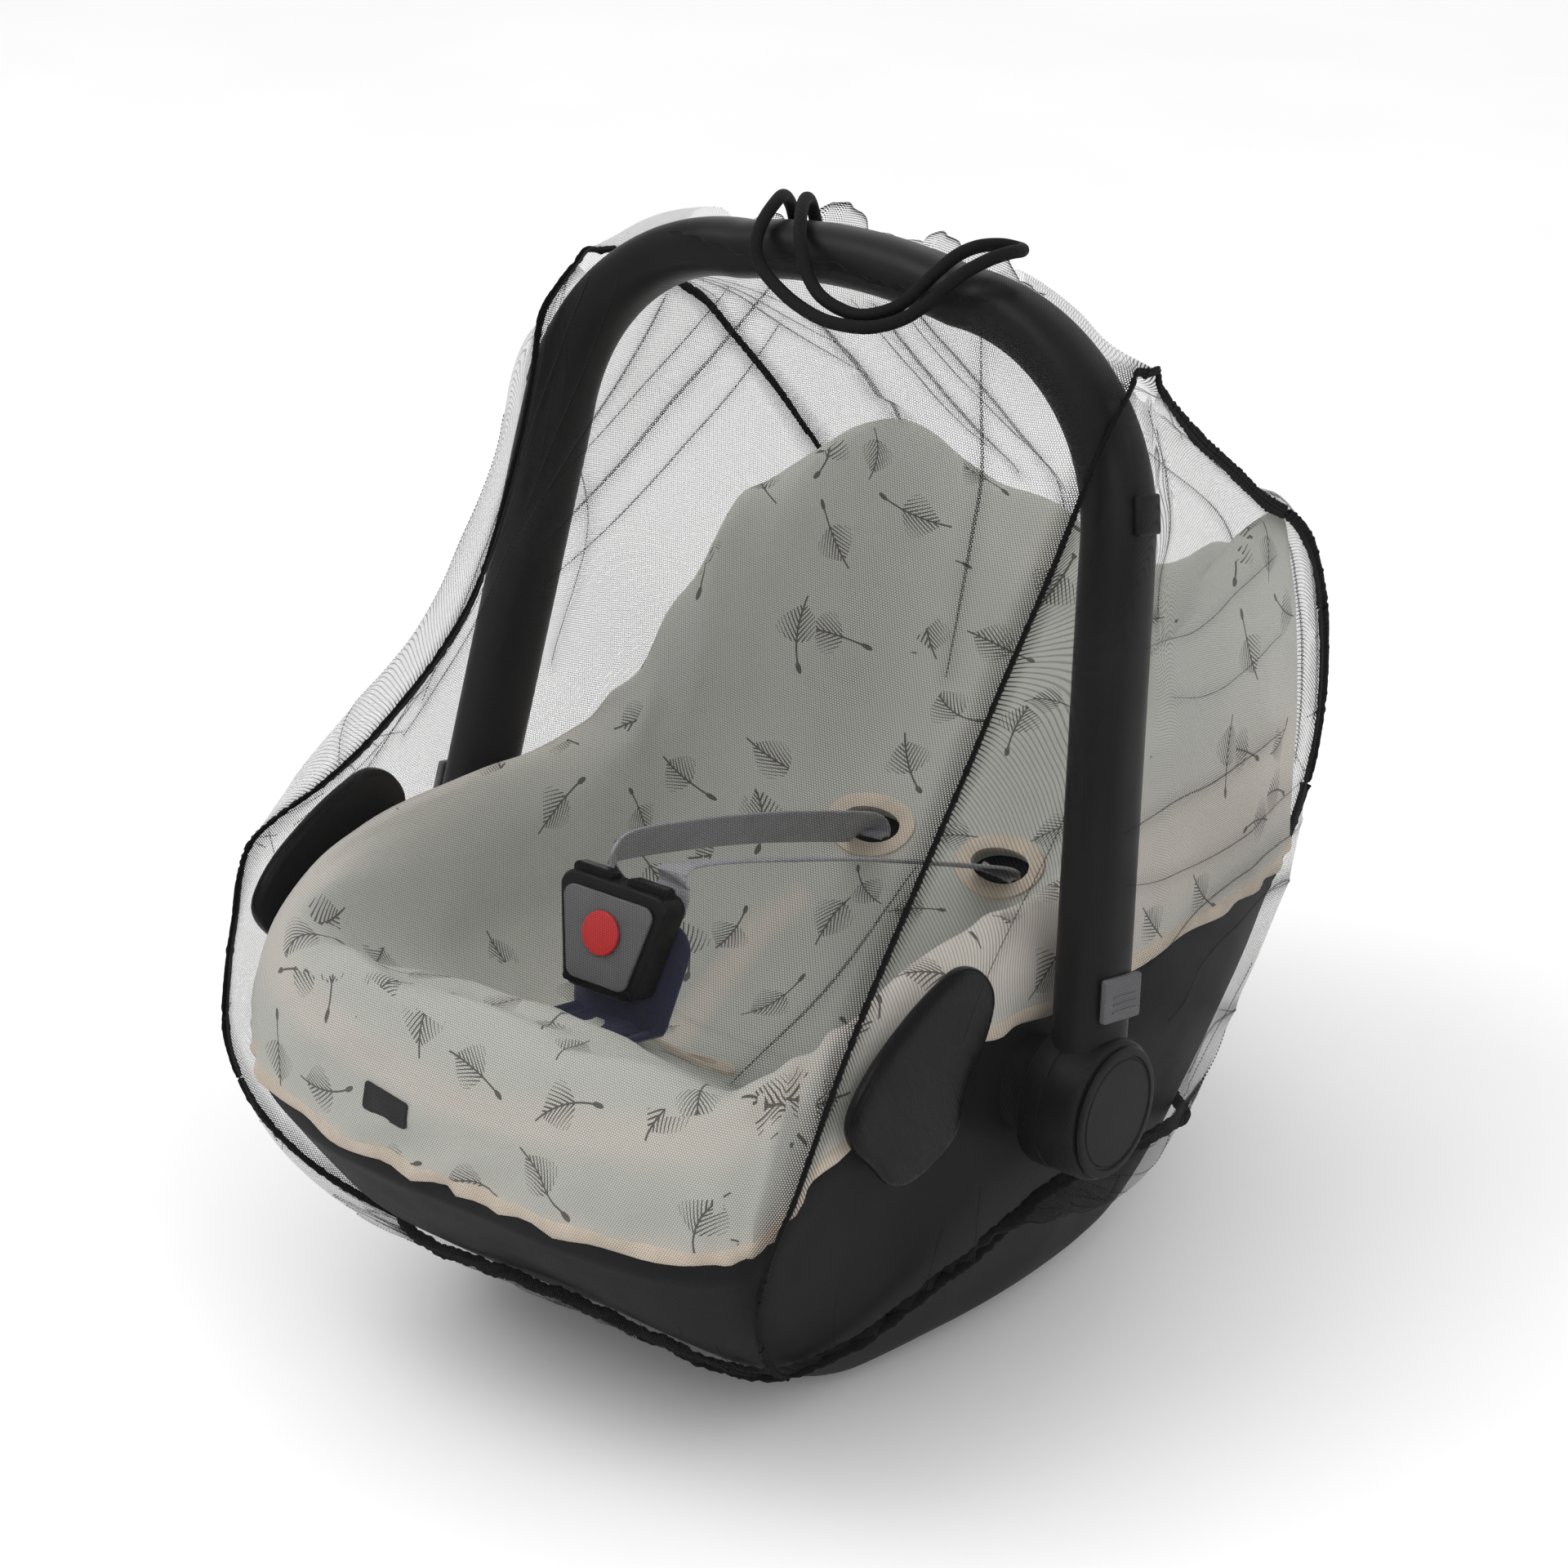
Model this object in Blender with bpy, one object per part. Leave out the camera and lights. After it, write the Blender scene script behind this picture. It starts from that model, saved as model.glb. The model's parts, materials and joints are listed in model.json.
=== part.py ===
"""Mosquito net fitted over an infant carrier: the net's panels, seam tapes and tie, and the plain carrier it hangs on.

Metres, +Z up. The origin is on the floor under the handle's hubs, +Y runs to the head end, +X is the near side.
"""
import math

import bmesh
import bpy
import numpy as np
from mathutils import Vector
from mathutils.bvhtree import BVHTree

# Carrier
HUB_HEIGHT = 0.165            # handle axis above the floor
HANDLE_LEAN = math.radians(12.5)   # the handle's plane leans towards the head end
HANDLE_HALF_AT_HUB = 0.2051   # centre line of a leg at the axis
HANDLE_HALF_AT_TOP = 0.1634   # where the legs would meet the grip's line
HANDLE_RISE = 0.3708          # grip's centre line above the axis, along the plane
HANDLE_CORNER = 0.1093        # bend radius
HANDLE_CROWN = 0.007          # the grip bows up in the middle
TUBE_THICK = 0.030
TUBE_DEPTH_LEG = 0.044
TUBE_DEPTH_GRIP = 0.037
HUB_RADIUS = 0.036
HUB_INNER = 0.1870
HUB_OUTER = 0.2206
CAP_RADIUS = 0.0335
CAP_THICK = 0.0030
BOSS_RADIUS = 0.026
COVER_THICK = 0.007
SKIRT_THICK = 0.0035
FIT_GAP = 0.0006
UNDER_ROOM = 0.0035           # room between cover and shell away from the skirt's edge
TOUCH_GAP = 0.0003
GUIDE_INNER = 0.1835
GUIDE_OUTER = 0.1920

# Net
NET_THICK = 0.0012
TAPE_WIDTH = 0.0070
TAPE_THICK = 0.0022
TAPE_CLEAR = 0.0011           # between the tape and the panels along the seam
CORD_THICK = 0.0066
GRIP_SLOT_HALF = 0.092        # half length of the opening that the grip stands in
HEM_GATHER = 0.0030           # how far the gathered hem waves
DRAPE_GAP = 0.0045            # how far the cloth stays off the carrier
DRAPE_TURNS = 4
PROBE = Vector((0.0173, 0.0291, 1.0)).normalized()   # direction of the test for what lies inside

# Steps
HALF_COLUMNS = 20             # round half of the seat's rim
SEAT_ROWS = 10                # from the skirt's edge to the seat's middle line
SHELL_ROWS = 6
NET_ROWS = 18                 # from a hem to the handle
NET_HALF_COLUMNS = 8          # from the middle to a side seam
SIDE_COLUMNS = 10

# The seat's rim from the middle of the foot end to the middle of the head end, one row for each station:
# the cover's lower edge, the top of the rim, the inner wall, the place on the middle line, the shell's belly
# and the shell's flat base
SEAT_STATIONS = [
    # skirt x, y, z, crest x, y, z, wall x, y, z, middle, belly x, y, z, base x, y
    (0, -0.229, 0.147, 0, -0.207, 0.236, 0, -0.16, 0.221, -0.125, 0, -0.183, 0.088, 0, -0.06),
    (0.08, -0.228, 0.147, 0.08, -0.204, 0.234, 0.072, -0.162, 0.217, -0.117, 0.07, -0.178, 0.078, 0.06, -0.058),
    (0.14, -0.213, 0.15, 0.13, -0.193, 0.231, 0.11, -0.16, 0.205, -0.108, 0.116, -0.162, 0.068, 0.085, -0.052),
    (0.168, -0.196, 0.17, 0.152, -0.172, 0.238, 0.124, -0.14, 0.198, -0.092, 0.136, -0.14, 0.07, 0.097, -0.042),
    (0.176, -0.152, 0.202, 0.16, -0.132, 0.25, 0.13, -0.106, 0.184, -0.07, 0.149, -0.105, 0.076, 0.103, -0.028),
    (0.178, -0.085, 0.214, 0.163, -0.08, 0.256, 0.133, -0.065, 0.17, -0.045, 0.158, -0.06, 0.082, 0.108, -0.008),
    (0.174, -0.02, 0.204, 0.16, -0.018, 0.254, 0.131, -0.012, 0.16, -0.01, 0.163, -0.012, 0.085, 0.113, 0.015),
    (0.176, 0.045, 0.198, 0.157, 0.042, 0.252, 0.129, 0.045, 0.166, 0.035, 0.164, 0.045, 0.085, 0.117, 0.04),
    (0.176, 0.11, 0.196, 0.156, 0.1, 0.276, 0.124, 0.104, 0.195, 0.088, 0.16, 0.105, 0.086, 0.12, 0.07),
    (0.171, 0.176, 0.19, 0.152, 0.152, 0.329, 0.112, 0.165, 0.237, 0.15, 0.153, 0.163, 0.086, 0.12, 0.1),
    (0.158, 0.244, 0.18, 0.143, 0.214, 0.367, 0.1, 0.225, 0.276, 0.205, 0.14, 0.215, 0.088, 0.114, 0.13),
    (0.132, 0.31, 0.17, 0.127, 0.296, 0.363, 0.087, 0.273, 0.294, 0.25, 0.106, 0.258, 0.088, 0.098, 0.16),
    (0.072, 0.35, 0.16, 0.077, 0.34, 0.33, 0.052, 0.3, 0.282, 0.28, 0.06, 0.296, 0.088, 0.06, 0.185),
    (0, 0.36, 0.158, 0, 0.357, 0.293, 0, 0.325, 0.268, 0.3, 0, 0.308, 0.088, 0, 0.196),
]

# Middle line of the seat's padding: y, z
SEAT_MIDDLE = [
    (-0.125, 0.198), (-0.105, 0.184), (-0.080, 0.166), (-0.045, 0.140), (0.000, 0.120), (0.040, 0.116),
    (0.080, 0.131), (0.120, 0.160), (0.158, 0.187), (0.210, 0.219), (0.260, 0.245), (0.300, 0.262),
]

# The net's front, from its hem up to the handle: middle y, z, right seam x, y, z, left seam x, y, z,
# and how square the row is (4 = flat with rounded corners, 2 = evenly bowed)
NET_FRONT = [
    # middle          right seam               left seam                square
    (-0.150, 0.066,   0.126, -0.132, 0.050,    -0.122, -0.140, 0.058,   3),
    (-0.192, 0.082,   0.143, -0.170, 0.076,    -0.142, -0.172, 0.082,   4),
    (-0.226, 0.112,   0.158, -0.200, 0.118,    -0.160, -0.196, 0.116,   4),
    (-0.236, 0.152,   0.173, -0.210, 0.162,    -0.175, -0.205, 0.155,   4),
    (-0.234, 0.200,   0.185, -0.205, 0.200,    -0.186, -0.190, 0.192,   4),
    (-0.213, 0.245,   0.190, -0.190, 0.238,    -0.190, -0.162, 0.228,   3.5),
    (-0.183, 0.276,   0.188, -0.163, 0.270,    -0.186, -0.124, 0.262,   2.5),
    (-0.150, 0.310,   0.183, -0.130, 0.298,    -0.181, -0.089, 0.284,   2),
    (-0.115, 0.346,   0.178, -0.096, 0.326,    -0.178, -0.050, 0.308,   2),
    (-0.085, 0.377,   0.174, -0.066, 0.351,    -0.175, -0.020, 0.334,   2),
    (-0.050, 0.411,   0.171, -0.028, 0.390,    -0.173, 0.002, 0.368,    2),
    (-0.015, 0.446,   0.169, 0.006, 0.424,     -0.171, 0.022, 0.412,    2),
    (0.022, 0.484,    0.168, 0.038, 0.461,     -0.169, 0.046, 0.458,    2),
]

# The net's back, from the handle down to its hem, laid out in the same way
NET_BACK = [
    (0.150, 0.500,    0.158, 0.150, 0.457,     -0.163, 0.155, 0.471,    2),
    (0.200, 0.458,    0.151, 0.195, 0.427,     -0.162, 0.194, 0.433,    2),
    (0.255, 0.412,    0.143, 0.243, 0.394,     -0.161, 0.232, 0.392,    2),
    (0.315, 0.366,    0.135, 0.292, 0.362,     -0.159, 0.266, 0.348,    2),
    (0.356, 0.328,    0.129, 0.330, 0.326,     -0.153, 0.300, 0.302,    3),
    (0.375, 0.270,    0.119, 0.362, 0.268,     -0.138, 0.338, 0.255,    3.5),
    (0.379, 0.205,    0.112, 0.372, 0.205,     -0.120, 0.364, 0.205,    4),
    (0.374, 0.155,    0.108, 0.356, 0.155,     -0.108, 0.356, 0.155,    4),
    (0.352, 0.112,    0.104, 0.318, 0.110,     -0.104, 0.318, 0.110,    4),
    (0.318, 0.080,    0.099, 0.276, 0.076,     -0.099, 0.276, 0.076,    4),
    (0.272, 0.056,    0.093, 0.236, 0.050,     -0.093, 0.236, 0.050,    3),
]

# The corner of the net over the handle's bend, for the seams: front, top and back x, y, z
CORNER_FRONT = (0.1685, 0.0740, 0.5010)
CORNER_TOP = (0.1690, 0.0880, 0.5060)
CORNER_BACK = (0.1665, 0.1030, 0.4950)

# A side of the net from its top corner to its hem: share of the way down, then three lines down the cloth,
# ahead of the handle's leg, over it and behind it
NET_SIDE = [
    # share   ahead x, y, z            over x, y, z             behind x, y, z
    (0.00,    0.1690, 0.0830, 0.4930,  0.1700, 0.0890, 0.4960,  0.1690, 0.0950, 0.4900),
    (0.12,    0.1830, 0.0520, 0.4560,  0.1890, 0.0740, 0.4560,  0.1830, 0.1010, 0.4520),
    (0.28,    0.1930, 0.0160, 0.3850,  0.2000, 0.0540, 0.3970,  0.1860, 0.1120, 0.3940),
    (0.45,    0.2020, -0.0300, 0.3200, 0.2085, 0.0390, 0.3330,  0.1920, 0.1300, 0.3330),
    (0.60,    0.2130, -0.0820, 0.2760, 0.2180, 0.0220, 0.2620,  0.1960, 0.1360, 0.2680),
    (0.75,    0.2120, -0.1020, 0.2150, 0.2290, 0.0080, 0.2000,  0.1940, 0.1420, 0.1980),
    (0.87,    0.1980, -0.0950, 0.1560, 0.2300, 0.0000, 0.1450,  0.1880, 0.1420, 0.1450),
    (0.94,    0.1860, -0.0780, 0.1160, 0.2200, 0.0000, 0.1190,  0.1810, 0.1380, 0.1080),
    (1.00,    0.1700, -0.0560, 0.0860, 0.1860, 0.0010, 0.1120,  0.1680, 0.1240, 0.0840),
]

# Broad folds of the net: panel, start across and along, end across and along, height, half width, all in the
# panel's own shares (across runs -1 to 1 between the seams of the middle panel, 0 to 1 on a side)
NET_FOLDS = [
    ("front", -0.30, 0.98, -0.96, 0.55, 0.0060, 0.10),
    ("front", -0.75, 0.98, -0.98, 0.72, 0.0050, 0.08),
    ("front", 0.40, 0.95, 0.90, 0.35, 0.0040, 0.10),
    ("back", -0.45, 0.95, 0.45, 0.60, 0.0060, 0.09),
    ("back", 0.20, 0.96, 0.80, 0.66, 0.0060, 0.09),
    ("side", 0.70, 0.55, 0.85, 0.05, 0.0060, 0.09),
    ("side", 0.52, 0.40, 0.62, 0.02, 0.0050, 0.07),
]

# Outline of a belt guide seen from the side: y, z
BELT_GUIDE = [
    (-0.152, 0.190), (-0.168, 0.209), (-0.169, 0.224), (-0.153, 0.241), (-0.124, 0.256), (-0.100, 0.264),
    (-0.083, 0.266), (-0.068, 0.258), (-0.059, 0.242), (-0.065, 0.223), (-0.080, 0.205), (-0.090, 0.180),
    (-0.118, 0.171), (-0.138, 0.175),
]

# Tie: an elastic cord whose two ends leave the net behind the grip's left side and whose bend hooks the right
# side, as x, y, z
TIE_ROUTE = [
    (-0.061, 0.1145, 0.5315), (-0.0595, 0.108, 0.545), (-0.054, 0.095, 0.5535), (-0.047, 0.079, 0.5545),
    (-0.0425, 0.063, 0.549), (-0.039, 0.053, 0.540), (-0.033, 0.049, 0.532), (-0.022, 0.045, 0.526),
    (-0.003, 0.039, 0.520), (0.019, 0.034, 0.517), (0.042, 0.034, 0.518), (0.058, 0.039, 0.523),
    (0.069, 0.045, 0.531), (0.077, 0.050, 0.540), (0.085, 0.056, 0.548), (0.0925, 0.065, 0.5535),
    (0.0965, 0.076, 0.555), (0.0960, 0.087, 0.5535), (0.0900, 0.0935, 0.5520), (0.0825, 0.089, 0.5535),
    (0.0775, 0.077, 0.5545), (0.0735, 0.065, 0.5520), (0.0685, 0.055, 0.545), (0.0610, 0.049, 0.5355),
    (0.052, 0.045, 0.527), (0.037, 0.0405, 0.5215), (0.022, 0.0415, 0.5215), (0.008, 0.044, 0.525),
    (-0.002, 0.048, 0.531), (-0.0085, 0.052, 0.5385), (-0.0145, 0.057, 0.546), (-0.022, 0.067, 0.5525),
    (-0.030, 0.079, 0.5555), (-0.0375, 0.092, 0.5555), (-0.0435, 0.104, 0.549), (-0.047, 0.1145, 0.5315),
]

# Harness
SLOT_CENTRE = (0.043, 0.158, 0.189)
SLOT_HALF = (0.019, 0.012)
TRIM_HALF = (0.027, 0.020)
CROTCH_CENTRE = (0.0, -0.058, 0.150)
CROTCH_HALF = (0.012, 0.028)
CROTCH_TRIM_HALF = (0.022, 0.038)
TRIM_THICK = 0.003
BUCKLE_FOOT = (0.0, -0.108, 0.206)
BUCKLE_LEAN = math.radians(16)
BUCKLE_SIZE = (0.066, 0.056, 0.018)
STRAP_WIDTH = 0.024
STRAP_THICK = 0.0016
STRAP_SEAT = 0.0070           # how far below the slot's middle the webbing comes out
LABEL_SIZE = (0.030, 0.014, 0.0010)

COLOURS = {
    # material: colour, roughness, metallic
    "net": ((0.02, 0.02, 0.02), 0.8, 0.0),
    "seam": ((0.012, 0.012, 0.012), 0.9, 0.0),
    "elastic": ((0.01, 0.01, 0.01), 0.75, 0.0),
    "shell": ((0.05, 0.05, 0.052), 0.55, 0.0),
    "cover": ((0.62, 0.64, 0.58), 0.9, 0.0),
    "trim": ((0.80, 0.74, 0.62), 0.85, 0.0),
    "handle": ((0.02, 0.02, 0.021), 0.5, 0.0),
    "grey": ((0.30, 0.30, 0.31), 0.45, 0.0),
    "red": ((0.55, 0.03, 0.03), 0.35, 0.0),
    "webbing": ((0.32, 0.32, 0.34), 0.8, 0.0),
    "navy": ((0.02, 0.02, 0.06), 0.9, 0.0),
    "label": ((0.01, 0.01, 0.01), 0.8, 0.0),
}


def clear_scene():
    for ob in list(bpy.data.objects):
        bpy.data.objects.remove(ob, do_unlink=True)


def material(name):
    made = bpy.data.materials.get(name)
    if made:
        return made
    colour, rough, metal = COLOURS[name]
    made = bpy.data.materials.new(name)
    made.use_nodes = True
    shader = made.node_tree.nodes["Principled BSDF"]
    shader.inputs["Base Color"].default_value = (*colour, 1)
    shader.inputs["Roughness"].default_value = rough
    shader.inputs["Metallic"].default_value = metal
    return made


def add_object(name, verts, faces, finish, smooth=True):
    mesh = bpy.data.meshes.new(name)
    mesh.from_pydata([tuple(v) for v in verts], [], [tuple(f) for f in faces])
    ob = bpy.data.objects.new(name, mesh)
    bpy.context.scene.collection.objects.link(ob)
    mesh.materials.append(material(finish))
    if smooth:
        mesh.shade_smooth()
        mesh.set_sharp_from_angle(angle=math.radians(40))
    return ob


def curve_through(points, at):
    """Catmull-Rom curve through the points, read at the shares of the way in at."""
    points = np.asarray(points, float)
    before, after = 2 * points[0] - points[1], 2 * points[-1] - points[-2]
    padded = np.concatenate([before[None], points, after[None]])
    place = np.clip(np.asarray(at, float), 0, 1) * (len(points) - 1)
    i = np.minimum(place.astype(int), len(points) - 2)
    t = (place - i).reshape((-1,) + (1,) * (points.ndim - 1))
    a, b, c, d = padded[i], padded[i + 1], padded[i + 2], padded[i + 3]
    return 0.5 * (2 * b + (c - a) * t + (2 * a - 5 * b + 4 * c - d) * t ** 2 + (3 * b - a - 3 * c + d) * t ** 3)


def steps(count):
    return np.linspace(0, 1, count + 1)


def even_steps(points, count):
    """Shares of the way that lie evenly along the curve through the points."""
    fine = curve_through(points, steps(400))
    run = np.concatenate([[0], np.cumsum(np.linalg.norm(np.diff(fine, axis=0), axis=1))])
    return np.interp(steps(count) * run[-1], run, steps(400))


def unit(v):
    v = np.asarray(v, float)
    return v / np.maximum(np.linalg.norm(v, axis=-1, keepdims=True), 1e-12)


def point_normals(verts, faces):
    verts = np.asarray(verts, float)
    out = np.zeros_like(verts)
    for f in faces:
        around = verts[list(f)]
        centre = around.mean(axis=0)
        area = sum(np.cross(around[k] - centre, around[(k + 1) % len(f)] - centre) for k in range(len(f)))
        for k in f:
            out[k] += area
    return unit(out)


def border_edges(faces):
    """Edges that one face has and no other, in that face's direction."""
    seen = {}
    for f in faces:
        for k in range(len(f)):
            a, b = f[k], f[(k + 1) % len(f)]
            seen[(a, b)] = True
    return [(a, b) for a, b in seen if (b, a) not in seen]


def thicken(verts, faces, above, below):
    """Closed sheet: one skin moved out along the normals, one moved in, and a wall round each border."""
    verts = np.asarray(verts, float)
    normal = point_normals(verts, faces)
    above = np.broadcast_to(above, len(verts))[:, None]
    below = np.broadcast_to(below, len(verts))[:, None]
    count = len(verts)
    skins = np.vstack([verts + normal * above, verts - normal * below])
    closed = [tuple(f) for f in faces]
    closed += [tuple(k + count for k in reversed(f)) for f in faces]
    closed += [(b, a, a + count, b + count) for a, b in border_edges(faces)]
    return drop_loose(skins, closed)


def drop_loose(verts, faces):
    used = sorted({k for f in faces for k in f})
    new_index = {k: n for n, k in enumerate(used)}
    return np.asarray(verts)[used], [tuple(new_index[k] for k in f) for f in faces]


def merged(verts, faces, near=1e-6):
    """Joins points that fall on each other and drops the faces that this leaves flat."""
    verts = np.asarray(verts, float)
    key = {}
    first = []
    for n, v in enumerate(np.round(verts / near).astype(np.int64)):
        first.append(key.setdefault(tuple(v), n))
    joined = []
    for f in faces:
        ring = [first[k] for k in f]
        ring = [k for n, k in enumerate(ring) if k != ring[n - 1]]
        if len(set(ring)) > 2:
            joined.append(tuple(ring))
    return drop_loose(verts, joined)


# Handle

def arch_point(run, lift=0.0, depth=0.0):
    """A place on one half of the handle: run along its centre line from the top, lift out from the line in its
    plane, depth towards the head end."""
    slope = math.atan2(HANDLE_HALF_AT_HUB - HANDLE_HALF_AT_TOP, HANDLE_RISE)
    turn = math.pi / 2 - slope
    tangent = HANDLE_CORNER * math.tan(turn / 2)
    flat = HANDLE_HALF_AT_TOP - tangent
    bend = HANDLE_CORNER * turn
    if run < flat:
        x = run
        up = HANDLE_RISE + HANDLE_CROWN * (1 - (run / flat) ** 2) + lift
    elif run < flat + bend:
        angle = (run - flat) / HANDLE_CORNER
        x = flat + (HANDLE_CORNER + lift) * math.sin(angle)
        up = HANDLE_RISE - HANDLE_CORNER + (HANDLE_CORNER + lift) * math.cos(angle)
    else:
        down = run - flat - bend
        x = flat + HANDLE_CORNER * math.sin(turn) + down * math.sin(slope) + lift * math.cos(slope)
        up = (HANDLE_RISE - HANDLE_CORNER + HANDLE_CORNER * math.cos(turn) - down * math.cos(slope)
              + lift * math.sin(slope))
    y = up * math.sin(HANDLE_LEAN) + depth * math.cos(HANDLE_LEAN)
    z = HUB_HEIGHT + up * math.cos(HANDLE_LEAN) - depth * math.sin(HANDLE_LEAN)
    return np.array([x, y, z])


def arch_half_length():
    slope = math.atan2(HANDLE_HALF_AT_HUB - HANDLE_HALF_AT_TOP, HANDLE_RISE)
    turn = math.pi / 2 - slope
    tangent = HANDLE_CORNER * math.tan(turn / 2)
    leg = (HANDLE_RISE - tangent * math.cos(slope)) / math.cos(slope)
    return HANDLE_HALF_AT_TOP - tangent + HANDLE_CORNER * turn + leg


def build_handle():
    sides = 12
    half = arch_half_length()
    runs = np.concatenate([[0.0, 0.035], np.linspace(0.066, 0.066 + HANDLE_CORNER * 1.459, 9), [0.28, 0.36, 0.43, half]])
    rings = []
    for run in runs:
        deep = TUBE_DEPTH_GRIP + (TUBE_DEPTH_LEG - TUBE_DEPTH_GRIP) * min(1.0, max(0.0, (run - 0.10) / 0.15))
        ring = []
        for k in range(sides):
            a = 2 * math.pi * k / sides
            ring.append(arch_point(run, math.cos(a) * TUBE_THICK / 2, math.sin(a) * deep / 2))
        rings.append(ring)
    mirror = np.array([-1, 1, 1])
    rings = [[p * mirror for p in ring] for ring in reversed(rings[1:])] + rings
    verts = [p for ring in rings for p in ring]
    faces = []
    for r in range(len(rings) - 1):
        for k in range(sides):
            n = (k + 1) % sides
            faces.append((r * sides + k, r * sides + n, (r + 1) * sides + n, (r + 1) * sides + k))
    faces.append(tuple(reversed(range(sides))))
    faces.append(tuple((len(rings) - 1) * sides + k for k in range(sides)))
    handle = add_object("handle", verts, faces, "handle")
    fix_outward(handle)
    for side in (1, -1):
        hub = add_drum("hub_tool", HUB_RADIUS, HUB_INNER, HUB_OUTER, side, "handle", 28)
        combine(handle, hub, "UNION")
    return handle


def fix_outward(ob):
    work = bmesh.new()
    work.from_mesh(ob.data)
    bmesh.ops.recalc_face_normals(work, faces=work.faces)
    work.to_mesh(ob.data)
    work.free()


def add_drum(name, radius, inner, outer, side, finish, count, y=0.0, z=HUB_HEIGHT):
    """Round piece on the handle's axis between two distances from the middle."""
    verts = []
    for x in (inner, outer):
        for k in range(count):
            a = 2 * math.pi * k / count
            verts.append((side * x, y + radius * math.cos(a), z + radius * math.sin(a)))
    faces = [(k, (k + 1) % count, count + (k + 1) % count, count + k) for k in range(count)]
    faces += [tuple(reversed(range(count))), tuple(range(count, 2 * count))]
    ob = add_object(name, verts, faces, finish)
    fix_outward(ob)
    return ob


def combine(ob, tool, how):
    """Boolean with a tool that stays out of the finished part."""
    tool.hide_render = True
    tool.hide_viewport = False
    tool.display_type = "WIRE"
    cut = ob.modifiers.new(how.title(), "BOOLEAN")
    cut.object = tool
    cut.operation = how
    cut.solver = "EXACT"


def build_hub_trim(side, tag):
    cap = add_drum(f"hub_cap_{tag}", CAP_RADIUS, HUB_OUTER + TOUCH_GAP, HUB_OUTER + TOUCH_GAP + CAP_THICK, side,
                   "handle", 32)
    cap.data.shade_flat()
    half = arch_half_length()
    add_leg_plate(f"release_{tag}", side, half - 0.066, half - 0.044, 0.0315, 0.0030, "grey")
    add_leg_plate(f"corner_button_{tag}", side, 0.205, 0.222, 0.020, 0.0030, "handle")


def add_leg_plate(name, side, run_from, run_to, deep, thick, finish):
    """Low plate on the outer face of a leg."""
    verts = []
    for run in (run_from, run_to):
        for lift in (TUBE_THICK / 2 + TOUCH_GAP, TUBE_THICK / 2 + thick):
            for depth in (-deep / 2, deep / 2):
                verts.append(arch_point(run, lift, depth) * (side, 1, 1))
    faces = [(0, 1, 3, 2), (4, 6, 7, 5), (0, 4, 5, 1), (2, 3, 7, 6), (0, 2, 6, 4), (1, 5, 7, 3)]
    ob = add_object(name, verts, faces, finish, smooth=False)
    fix_outward(ob)


# Seat

def seat_columns():
    """Control points of half the seat, read between the stations and closed by its mirror image."""
    stations = np.array(SEAT_STATIONS)
    mirrored = stations.copy()
    mirrored[:, [0, 3, 6, 10, 13]] *= -1
    ring = np.vstack([stations, mirrored[-2:0:-1]])
    whole = np.vstack([ring, ring[:1]])
    padded = np.vstack([ring[-1:], whole, ring[1:2]])
    columns = curve_through(padded, (steps(2 * HALF_COLUMNS)[:-1] * len(ring) + 1) / (len(padded) - 1))
    for row in columns:
        row[[0, 3, 6, 10, 13]] = np.where(np.abs(row[[0, 3, 6, 10, 13]]) < 1e-5, 0, row[[0, 3, 6, 10, 13]])
    count = len(columns)
    for n in range(1, HALF_COLUMNS):      # the two halves are the same
        columns[count - n] = columns[n]
        columns[count - n][[0, 3, 6, 10, 13]] *= -1
    return columns


def middle_point(y):
    line = np.array(SEAT_MIDDLE)
    fine = curve_through(line, steps(300))
    return np.array([0.0, y, np.interp(y, fine[:, 0], fine[:, 1])])


def seat_profile(column):
    """From the skirt's edge over the rim and down the wall to the middle line."""
    skirt, crest, wall, middle = column[0:3], column[3:6], column[6:9], middle_point(column[9])
    out = unit(skirt[:2] - wall[:2] if np.linalg.norm(skirt[:2] - wall[:2]) > 0 else np.array([1.0, 0]))
    out = np.array([out[0], out[1], 0])
    shoulder = (skirt + crest) / 2 + out * 0.007 + np.array([0, 0, 0.006])
    inner = crest - out * 0.016 - np.array([0, 0, 0.011])
    floor = middle + (wall - middle) * np.array([0.60, 0.60, 0.10])
    return [skirt, shoulder, crest, inner, wall, floor, middle]


def seat_grid(rows=SEAT_ROWS):
    grid = []
    for column in seat_columns():
        points = seat_profile(column)
        grid.append(curve_through(points, even_steps(points, rows)))
    return np.array(grid)          # columns, rows, 3


def ring_faces(columns, rows, turned=False):
    """Triangles of a grid that closes on itself across its columns, pointing out of the seat. Turned gives the other
    diagonal, for a grid whose rows run the other way."""
    faces = []
    for c in range(columns):
        n = (c + 1) % columns
        for r in range(rows):
            a, b = c * (rows + 1) + r, n * (rows + 1) + r
            if turned:
                faces += [(a + 1, b, a), (a + 1, b + 1, b)]
            else:
                faces += [(a, b, b + 1), (a, b + 1, a + 1)]
    return faces


def cover_skin():
    grid = seat_grid()
    verts, faces = merged(grid.reshape(-1, 3), ring_faces(len(grid), SEAT_ROWS))
    return verts, faces


def cover_thickness(verts):
    """Thin at the skirt's edge, padded further in."""
    return SKIRT_THICK + (COVER_THICK - SKIRT_THICK) * np.clip(reach_from_edge(verts) / 0.05, 0, 1)


def reach_from_edge(verts):
    edge = seat_grid()[:, 0]
    return np.array([np.min(np.linalg.norm(edge - v, axis=1)) for v in verts])


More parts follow.
